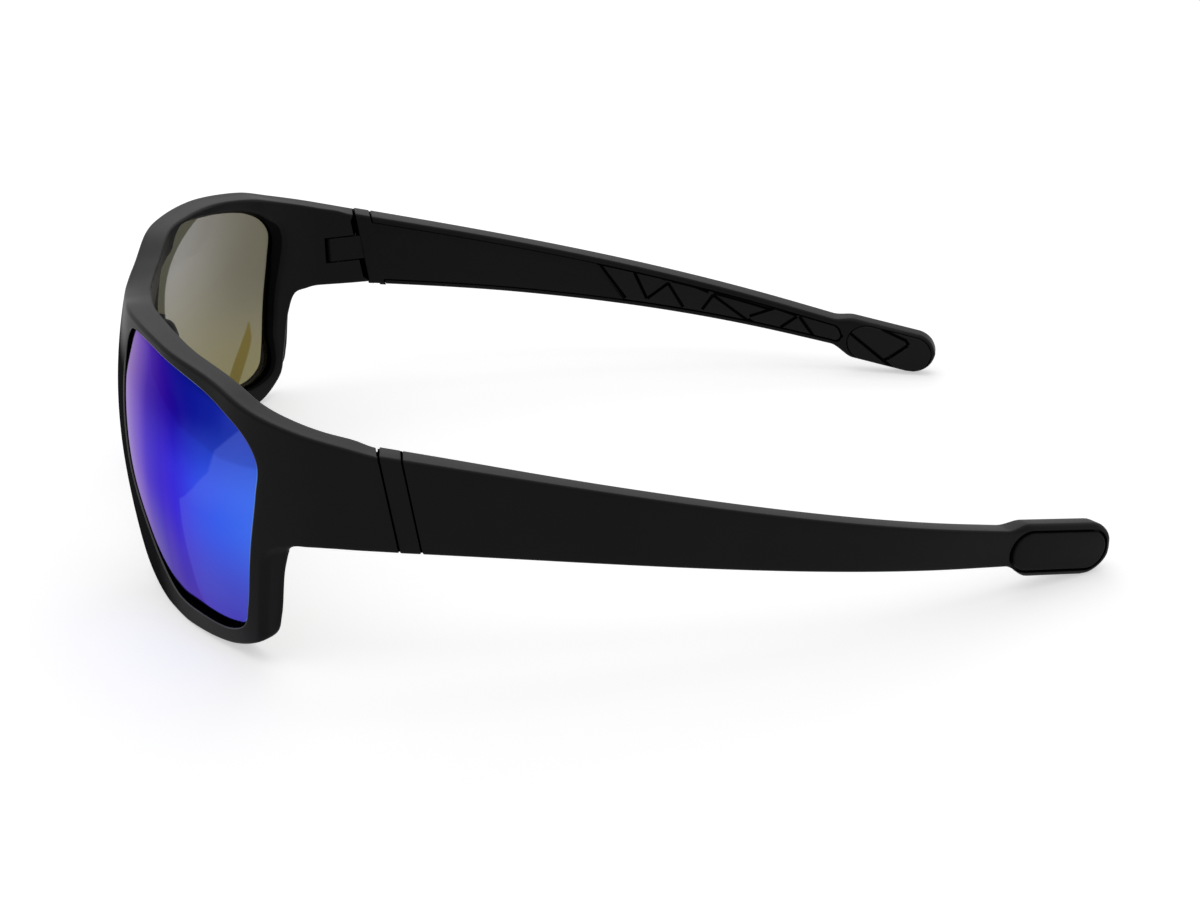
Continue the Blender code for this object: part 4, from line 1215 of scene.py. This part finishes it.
def recessed_shell_mesh():
    """The cover with its channel and the paddle's two recesses."""
    mesh = combine(shell_mesh(), channel_mesh(), "DIFFERENCE")
    recess = stadium(INLAY_MARGIN, INLAY_SHIFT, ((0.0, -OVERCUT), (0.0, INLAY_DEPTH)),
                     "inlay_recess")
    mesh = combine(mesh, recess, "DIFFERENCE")
    levels = ((0.0, TEMPLE_THICKNESS - TIP_GRIP_DEPTH), (0.0, TEMPLE_THICKNESS + OVERCUT))
    recess = stadium(TIP_GRIP_MARGIN, TIP_GRIP_SHIFT, levels, "tip_recess")
    return combine(mesh, recess, "DIFFERENCE")


def tip_grip_mesh():
    """The rubber insert on the inside of the paddle."""
    levels = [(0.0, TEMPLE_THICKNESS - TIP_GRIP_DEPTH + CLEARANCE)]
    levels += [(SOFT_EDGE * (1 - cosine), TIP_FACE - SOFT_EDGE * (1 - sine))
               for sine, cosine in quarter(4)]
    return stadium(TIP_GRIP_MARGIN + TIP_GRIP_CLEARANCE, TIP_GRIP_SHIFT, levels, "tip_grip")


def tip_pad_mesh():
    """The oval inlay on the outside of the paddle."""
    levels = [(SOFT_EDGE * (1 - cosine), SOFT_EDGE * (1 - sine) - INLAY_STANDS_OUT)
              for sine, cosine in reversed(quarter(4))]
    levels.append((0.0, INLAY_DEPTH - CLEARANCE))
    return stadium(INLAY_MARGIN + INLAY_GROOVE, INLAY_SHIFT + INLAY_PAD_SHIFT, levels,
                   "tip_pad")


# ---------------------------------------------------------------- shader writing

class Value:
    """A shader socket that can be used in arithmetic."""

    def __init__(self, tree, socket):
        self.tree, self.socket = tree, socket

    def math(self, operation, other=None, third=None):
        ends = [self] + [part for part in (other, third) if part is not None]
        return self.tree.node("ShaderNodeMath", ends, operation=operation)

    def __add__(self, other):
        return self.math("ADD", other)

    def __sub__(self, other):
        return self.math("SUBTRACT", other)

    def __mul__(self, other):
        return self.math("MULTIPLY", other)

    def __truediv__(self, other):
        return self.math("DIVIDE", other)

    def __rsub__(self, other):
        return (self * -1.0) + other

    __radd__, __rmul__ = __add__, __mul__

    def step(self, start, end):
        """0 below start, 1 above end, smooth between."""
        ends = {"Value": self, "From Min": start, "From Max": end}
        return self.tree.node("ShaderNodeMapRange", ends, interpolation_type="SMOOTHSTEP")


class Tree:
    """Writes one material's or the world's nodes."""

    def __init__(self, owner):
        owner.use_nodes = True
        self.nodes, self.links = owner.node_tree.nodes, owner.node_tree.links
        self.nodes.clear()

    def node(self, kind, ends=(), output=0, stops=None, **settings):
        """Adds a node with its settings, its ramp's stops and its sockets' values or links."""
        made = self.nodes.new(kind)
        for name, value in settings.items():
            setattr(made, name, value)
        if stops:
            ramp = made.color_ramp
            while len(ramp.elements) < len(stops):
                ramp.elements.new(0.5)
            for element, (place, colour) in zip(ramp.elements, stops):
                element.position, element.color = place, (*colour, 1.0)
        pairs = ends.items() if isinstance(ends, dict) else enumerate(ends)
        for name, value in pairs:
            if isinstance(value, Value):
                self.links.new(value.socket, made.inputs[name])
            elif made.inputs[name].type == "RGBA" and not isinstance(value, float):
                made.inputs[name].default_value = (*value, 1.0)
            else:
                made.inputs[name].default_value = value
        return Value(self, made.outputs[output]) if made.outputs else None

    def place(self):
        """Object coordinates as X, Y and Z."""
        point = self.node("ShaderNodeTexCoord", output="Object")
        split = [self.node("ShaderNodeSeparateXYZ", [point], output=i) for i in range(3)]
        return point, *split

    def noise(self, point, scale, detail=3.0, roughness=0.55, distortion=0.0):
        ends = {"Vector": point, "Scale": scale, "Detail": detail, "Roughness": roughness,
                "Distortion": distortion}
        return self.node("ShaderNodeTexNoise", ends)

    def blend(self, share, first, second):
        """A mix of two colours."""
        made = self.nodes.new("ShaderNodeMix")
        made.data_type = "RGBA"
        for socket, value in ((made.inputs[0], share), (made.inputs[6], first),
                              (made.inputs[7], second)):
            if isinstance(value, Value):
                self.links.new(value.socket, socket)
            else:
                socket.default_value = value if isinstance(value, float) else (*value, 1.0)
        return Value(self, made.outputs[2])

    def bump(self, height, strength, distance):
        ends = {"Height": height, "Strength": strength, "Distance": distance}
        return self.node("ShaderNodeBump", ends)

    def see_through(self, colour):
        return self.node("ShaderNodeBsdfTransparent", {"Color": colour})

    def either(self, share, first, second):
        """A mix of two shaders."""
        return self.node("ShaderNodeMixShader", [share, first, second])


def finish(name, write):
    """A material whose shader write(tree) makes."""
    made = bpy.data.materials.new(name)
    tree = Tree(made)
    tree.node("ShaderNodeOutputMaterial", {"Surface": write(tree)})
    return made


def srgb(red, green, blue):
    """A colour from 0 to 255 display values."""
    return tuple((v / 255 / 12.92) if v <= 10 else ((v / 255 + 0.055) / 1.055) ** 2.4
                 for v in (red, green, blue))


def moulded(tree, dark, pale, rough, grain, specular=0.3, blotch=35.0):
    """Matt moulded plastic or rubber: fine spark-eroded grain and a slightly uneven sheen."""
    point, *_ = tree.place()
    fine = tree.noise(point, grain, 2.0, 0.6)
    coarse = tree.noise(point, grain * 0.22, 2.0)
    broad = tree.noise(point, blotch, 3.0, 0.5, 0.4)
    colour = tree.blend(broad.step(0.32, 0.7) * 0.8 + fine * 0.2, dark, pale)
    roughness = broad * 0.10 + fine * 0.05 + (rough - 0.075)
    height = fine * 0.7 + coarse * 0.3
    return tree.node("ShaderNodeBsdfPrincipled", {
        "Base Color": colour, "Roughness": roughness, "Specular IOR Level": specular,
        "Normal": tree.bump(height, 0.35, 0.00006)})


# What moulded takes: dark and pale colour, roughness, fineness of the grain, specular, then
# fineness of the blotches.
PLASTIC_GRAIN, RUBBER_GRAIN = 5200.0, 3600.0
PLAIN = ((0.0040, 0.0040, 0.0043), (0.0062, 0.0062, 0.0066), 0.42, PLASTIC_GRAIN, 0.10)
# beside the nose the face has no gloss and a paler colour, which stands in for its sheen:
# painted sheen
PAINTED_SHEEN = ((0.0150, 0.0150, 0.0158), (0.0200, 0.0200, 0.0208), 0.55, PLASTIC_GRAIN, 0.0)


def black(name, *values):
    return finish(name, lambda tree: moulded(tree, *values))


matt_black = black("matt_black", *PLAIN)
shell_black = black("shell_black", (0.0038, 0.0038, 0.0042), (0.0060, 0.0060, 0.0064), 0.40,
                    PLASTIC_GRAIN, 0.10)
# painted shade: a darker black with no gloss for the lens channel, the hinge gap's faces and the
# collars
shade_painted_black = black("shade_painted_black", (0.0008, 0.0008, 0.0009), (0.0016, 0.0016, 0.0017), 0.60,
                      PLASTIC_GRAIN, 0.0)
# painted shade on the flared wall next to the ledge behind the lens: a darker black with almost
# no gloss
ledge_painted_shade = black("ledge_painted_shade", (0.0018, 0.0018, 0.0020), (0.0030, 0.0030, 0.0032), 0.45,
                    PLASTIC_GRAIN, 0.03)
# the lens opening's front lip: glossier, and paler as a painted highlight
lip_painted_highlight = black("lip_painted_highlight", (0.0100, 0.0100, 0.0106), (0.0140, 0.0140, 0.0146), 0.30,
                  PLASTIC_GRAIN, 0.5)
grip_rubber = black("grip_rubber", (0.0072, 0.0072, 0.0077), (0.0100, 0.0100, 0.0106), 0.60,
                    RUBBER_GRAIN, 0.12, 60.0)
end_rubber = black("end_rubber", (0.0048, 0.0048, 0.0051), (0.0070, 0.0070, 0.0073), 0.60,
                   RUBBER_GRAIN, 0.10, 60.0)
# painted shade in the grip grooves: a much darker rubber black
groove_painted_shade = black("groove_painted_shade", (0.0016, 0.0016, 0.0018), (0.0026, 0.0026, 0.0028), 0.60,
                     RUBBER_GRAIN, 0.02, 60.0)
pad_rubber = black("pad_rubber", (0.0110, 0.0110, 0.0115), (0.0160, 0.0160, 0.0165), 0.55,
                   RUBBER_GRAIN, 0.2, 90.0)


def write_face(tree):
    """The front's outer face: beside the nose a painted sheen, a paler colour with no gloss;
    plain further out and on the brow.
    """
    _, x, _, z = tree.place()
    outwards, on_brow = x.math("ABSOLUTE").step(34 * MM, 56 * MM), z.step(38 * MM, 46 * MM)
    return tree.either(outwards.math("MAXIMUM", on_brow), moulded(tree, *PAINTED_SHEEN),
                       moulded(tree, *PLAIN))


face_black = finish("face_black", write_face)


def along_axis(tree, axis, low, high, stops):
    """A ramp along an axis, from low to high in millimetres, through (share, colour) stops."""
    share = axis.math("MULTIPLY_ADD", 1 / ((high - low) * MM), -low / (high - low))
    return tree.node("ShaderNodeValToRGB", [share], stops=stops)


def bound(tree, axis, low, high, *places):
    """A length that changes along an axis, through pairs of place and length in millimetres."""
    most = 100
    stops = [((place - low) / (high - low), (length / most,) * 3) for place, length in places]
    return along_axis(tree, axis, low, high, stops) * (most * MM)


def coated(tree, front, behind):
    """A coating seen from outside, and what the wearer sees of it from inside."""
    from_behind = tree.node("ShaderNodeNewGeometry", output="Backfacing")
    return tree.either(from_behind, front, tree.see_through(behind))


def write_mirror(tree):
    """The coating, coloured by place: silvery and violet beside the nose, royal blue, then sky
    blue outside. These colours stand in for the coating's shift with the angle of view; the
    silvery part beside the nose is painted sheen.
    """
    point, x, _, z = tree.place()
    outer = x.math("ABSOLUTE")
    side = outer + (tree.noise(point, 28.0, 1.0) - 0.5) * (3 * MM)

    def band(*colours):
        stops = [(i / (len(colours) - 1), srgb(*colour)) for i, colour in enumerate(colours)]
        return along_axis(tree, side, 22, 62, stops)

    # colours at 22, 27, 32 ... 62 mm from the middle
    top = band((176, 172, 164), (158, 152, 158), (116, 104, 160), (60, 56, 154), (18, 36, 148),
               (2, 28, 150), (0, 28, 158), (12, 40, 168), (40, 68, 190))
    middle = band((172, 172, 160), (146, 148, 166), (113, 110, 184), (72, 78, 194),
                  (42, 58, 203), (32, 52, 217), (50, 78, 232), (55, 97, 242), (66, 114, 244))
    foot = band((175, 172, 160), (170, 170, 165), (160, 164, 166), (126, 136, 168),
                (80, 92, 174), (68, 78, 186), (82, 82, 192), (80, 80, 196), (76, 82, 200))
    high = z.step(28 * MM, 41 * MM)
    low = 1.0 - z.step(8 * MM, 25 * MM)
    colour = tree.blend(low, tree.blend(high, middle, top), foot)
    # a broad pale painted reflection fills the outer part, and a dusky painted reflection the
    # top of it
    edge = outer - bound(tree, z, 0, 50, (0, 51.4), (8, 50.1), (14, 49.2), (20, 48.4),
                         (24.6, 48.3), (26, 50.2), (28, 52.2), (32, 55.3), (36, 56.2),
                         (41, 60.2))
    pale = edge.step(-0.2 * MM, 0.4 * MM) * (0.55 - edge.step(0.0, 12 * MM) * 0.5)
    colour = tree.blend(pale * 0.5, colour, srgb(104, 128, 244))
    arch = z - bound(tree, outer, 30, 70, (37.6, 47.0), (38.6, 43.0), (44, 39.6), (49, 37.4),
                     (53.7, 36.4), (57, 35.0), (62, 34.8))
    dusk = arch.step(-0.3 * MM, 0.5 * MM)
    colour = tree.blend(dusk * 0.18, colour, srgb(10, 4, 96))
    clouds = tree.noise(point, 60.0, 2.0, 0.5, 0.6)
    colour = tree.blend(clouds.step(0.45, 0.75) * 0.06, colour, srgb(90, 120, 246))
    roughness = tree.noise(point, 900.0, 2.0) * 0.03 + 0.075
    mirror = tree.node("ShaderNodeBsdfPrincipled", {
        "Base Color": colour, "Metallic": 1.0, "Roughness": roughness,
        "Specular Tint": (0.62, 0.45, 0.95)})
    return coated(tree, mirror, (1.0, 1.0, 1.0))


def write_tint(tree):
    """The smoke-brown lens body that the wearer sees: see-through, paler above."""
    point, x, _, z = tree.place()
    share = 1.0 - z.step(6 * MM, 44 * MM) + (tree.noise(point, 40.0, 1.0) - 0.5) * 0.2
    body = tree.either(share, tree.see_through(srgb(146, 144, 139)),
                       tree.see_through(srgb(136, 130, 94)))
    dim = (x.math("ABSOLUTE") + tree.noise(point, 30.0, 2.0) * 6 * MM).step(34 * MM, 68 * MM)
    body = tree.either(dim * z.step(4 * MM, 30 * MM), body, tree.see_through(srgb(104, 100, 84)))
    smooth = tree.noise(point, 700.0, 2.0) * 0.04 + 0.05
    gloss = tree.node("ShaderNodeBsdfPrincipled", {
        "Base Color": tree.blend(share, srgb(70, 70, 66), srgb(66, 60, 44)),
        "Roughness": smooth})
    glass = tree.either(0.16, body, gloss)
    # an olive shade beside the nose, and a curved streak low on the outer side
    side = x.math("ABSOLUTE") / MM
    level = z / MM
    rise = ((level - 30.0) / 16.0).math("MAXIMUM", 0.0).math("POWER", 3.0)
    shade = 1.0 - (side - rise * 15.0).step(27.6, 28.4)
    left = (18.4 - level).math("MAXIMUM", 0.0).math("POWER", 1.354) * 0.29
    right = (15.0 - level).math("MAXIMUM", 0.0).math("POWER", 1.5) * 0.18
    streak = (side + left).step(55.8, 56.3) * (1.0 - (side + right).step(56.0, 56.5))
    streak *= 1.0 - level.step(17.6, 18.6)
    glass = tree.either(streak * 0.9, glass, tree.see_through(srgb(104, 92, 44)))
    return tree.either(shade * 0.85, glass, tree.see_through(srgb(62, 61, 46)))


def write_lens_edge(tree):
    """The polished edge round the coating, as a painted highlight: pale lilac beside the nose,
    pale blue outside.
    """
    point, x, *_ = tree.place()
    uneven = (tree.noise(point, 90.0, 2.0) - 0.5) * 0.2
    across = x.math("ABSOLUTE").step(24 * MM, 58 * MM) + uneven
    colour = tree.blend(across, srgb(204, 188, 208), srgb(84, 140, 236))
    edge = tree.node("ShaderNodeBsdfPrincipled", {
        "Base Color": colour, "Metallic": 1.0,
        "Roughness": tree.noise(point, 900.0, 2.0) * 0.05 + 0.12})
    return coated(tree, edge, (0.3, 0.3, 0.3))


lens_mirror = finish("lens_mirror", write_mirror)
lens_tint = finish("lens_tint", write_tint)
lens_edge_painted_highlight = finish("lens_edge_painted_highlight", write_lens_edge)


def metal(tree, pale, dark, rough):
    """Turned metal with fine streaks."""
    point, *_ = tree.place()
    streaks = tree.noise(point, 2400.0, 3.0)
    colour = tree.blend(streaks, pale, dark)
    return tree.node("ShaderNodeBsdfPrincipled", {
        "Base Color": colour, "Metallic": 1.0, "Roughness": streaks * 0.15 + rough,
        "Normal": tree.bump(streaks, 0.2, 0.00003)})


screw_steel = finish("screw_steel", lambda tree: metal(
    tree, srgb(196, 196, 198), srgb(150, 150, 154), 0.24))
insert_brass = finish("insert_brass", lambda tree: metal(
    tree, srgb(212, 178, 104), srgb(166, 130, 66), 0.28))


# ---------------------------------------------------------------- assembly

AT_FRONT = ("front", "front")
ON_TEMPLES = ("temple_left", "temple_right")

placed("front_moulding", bored_front_mesh(), "front", ["front_frame"],
       [matt_black, shade_painted_black, ledge_painted_shade, lip_painted_highlight, face_black])
pair("lens_sheet", lens_mesh(), AT_FRONT, "lens", [lens_mirror, lens_tint, lens_edge_painted_highlight])
pair("nose_rest", nose_pad_mesh(), AT_FRONT, "nose_pad", [pad_rubber])
pair("pivot_screw", screw_mesh(), AT_FRONT, "hinge_screw", [screw_steel])
for side in ("left", "right"):
    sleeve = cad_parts[f"hinge_insert_{side}"].data
    sleeve.materials.clear()
    sleeve.materials.append(insert_brass)

pair("hinge_core", core_mesh(), ON_TEMPLES, "temple_core",
     [matt_black, shade_painted_black])
pair("outer_shell", recessed_shell_mesh(), ON_TEMPLES, "temple_shell",
     [shell_black])
pair("side_grip", grooved(temple_grip_mesh(), GRIP_GROOVES, grip_face), ON_TEMPLES,
     "temple_grip", [grip_rubber, groove_painted_shade])
pair("end_grip", grooved(tip_grip_mesh(), TIP_GROOVES, lambda y: TIP_FACE), ON_TEMPLES,
     "tip_grip", [grip_rubber, groove_painted_shade])
pair("end_pad", tip_pad_mesh(), ON_TEMPLES, "tip_pad", [end_rubber])

# ---------------------------------------------------------------- studio

scene = bpy.context.scene
scene.view_settings.view_transform = "Standard"
WHITE = (1.0, 1.0, 1.0)
FLOOR_LIFT = 0.52             # how brightly the floor glows to the rays that see it white
FLOOR_HALF_SIDE = 6.0
STUDIO_LIGHT = 0.36


def sees_backdrop(tree):
    """1 for rays from the camera or through glass, a little less for those off a gloss."""
    rays = [tree.node("ShaderNodeLightPath", output=name)
            for name in ("Is Camera Ray", "Is Glossy Ray", "Is Transmission Ray")]
    return (rays[0] + rays[1] * 0.75 + rays[2]).math("MINIMUM", 1.0)


def write_floor(tree):
    """Matt white paper, lifted to pure white where it is seen."""
    point, *_ = tree.place()
    mottle = tree.noise(point, 4.0, 2.0)
    colour = tree.blend(mottle, (0.78, 0.78, 0.785), (0.80, 0.80, 0.80))
    paper = tree.node("ShaderNodeBsdfDiffuse", {"Color": colour})
    lift = tree.node("ShaderNodeEmission", {"Color": WHITE, "Strength": FLOOR_LIFT})
    lifted = tree.node("ShaderNodeAddShader", [paper, lift])
    return tree.either(sees_backdrop(tree), paper, lifted)


shape = bmesh.new()
bmesh.ops.create_grid(shape, x_segments=1, y_segments=1, size=FLOOR_HALF_SIDE)
floor = shown("floor", as_mesh(shape, "floor"))
floor.data.materials.clear()
floor.data.materials.append(finish("floor_paper", write_floor))

world = bpy.data.worlds.new("studio")
scene.world = world
tree = Tree(world)
light = tree.node("ShaderNodeBackground", {"Color": WHITE, "Strength": STUDIO_LIGHT})
backdrop = tree.node("ShaderNodeBackground", {"Color": WHITE, "Strength": 1.0})
both = tree.either(sees_backdrop(tree), light, backdrop)
tree.node("ShaderNodeOutputWorld", {"Surface": both})


def softbox(name, place, aim, size, power):
    """A soft rectangular lamp at a place, turned to its aim."""
    lamp = bpy.data.lights.new(name, "AREA")
    lamp.shape, lamp.size, lamp.size_y, lamp.energy = "RECTANGLE", *size, power
    made = bpy.data.objects.new(name, lamp)
    scene.collection.objects.link(made)
    made.location = place
    made.rotation_euler = (Vector(aim) - Vector(place)).to_track_quat("-Z", "Y").to_euler()


softbox("overhead", (-0.05, -0.12, 0.75), (0.0, 0.0, 0.0), (0.9, 0.9), 2.3)
softbox("behind", (-0.7, 0.1, 0.55), (0.0, 0.0, 0.02), (0.7, 0.4), 1.0)

# Where the camera stands, its turn about +Z, its tilt down and its roll.
CAMERA_AT = Vector((329.3, -45.65, 151.5)) * MM
CAMERA_YAW, CAMERA_TILT, CAMERA_ROLL = 0.1466, 0.4146, -0.0045
camera = bpy.data.cameras.new("camera")
camera.sensor_width, camera.lens = 36.0, 55.8
camera.clip_start, camera.clip_end = 0.01, 30.0
eye = bpy.data.objects.new("camera", camera)
scene.collection.objects.link(eye)
turn = Matrix.Rotation(math.pi / 2 - CAMERA_YAW, 4, "Z")
tilt = Matrix.Rotation(math.pi / 2 - CAMERA_TILT, 4, "X")
roll = Matrix.Rotation(CAMERA_ROLL, 4, "Z")
eye.matrix_world = Matrix.Translation(CAMERA_AT) @ turn @ tilt @ roll
scene.camera = eye
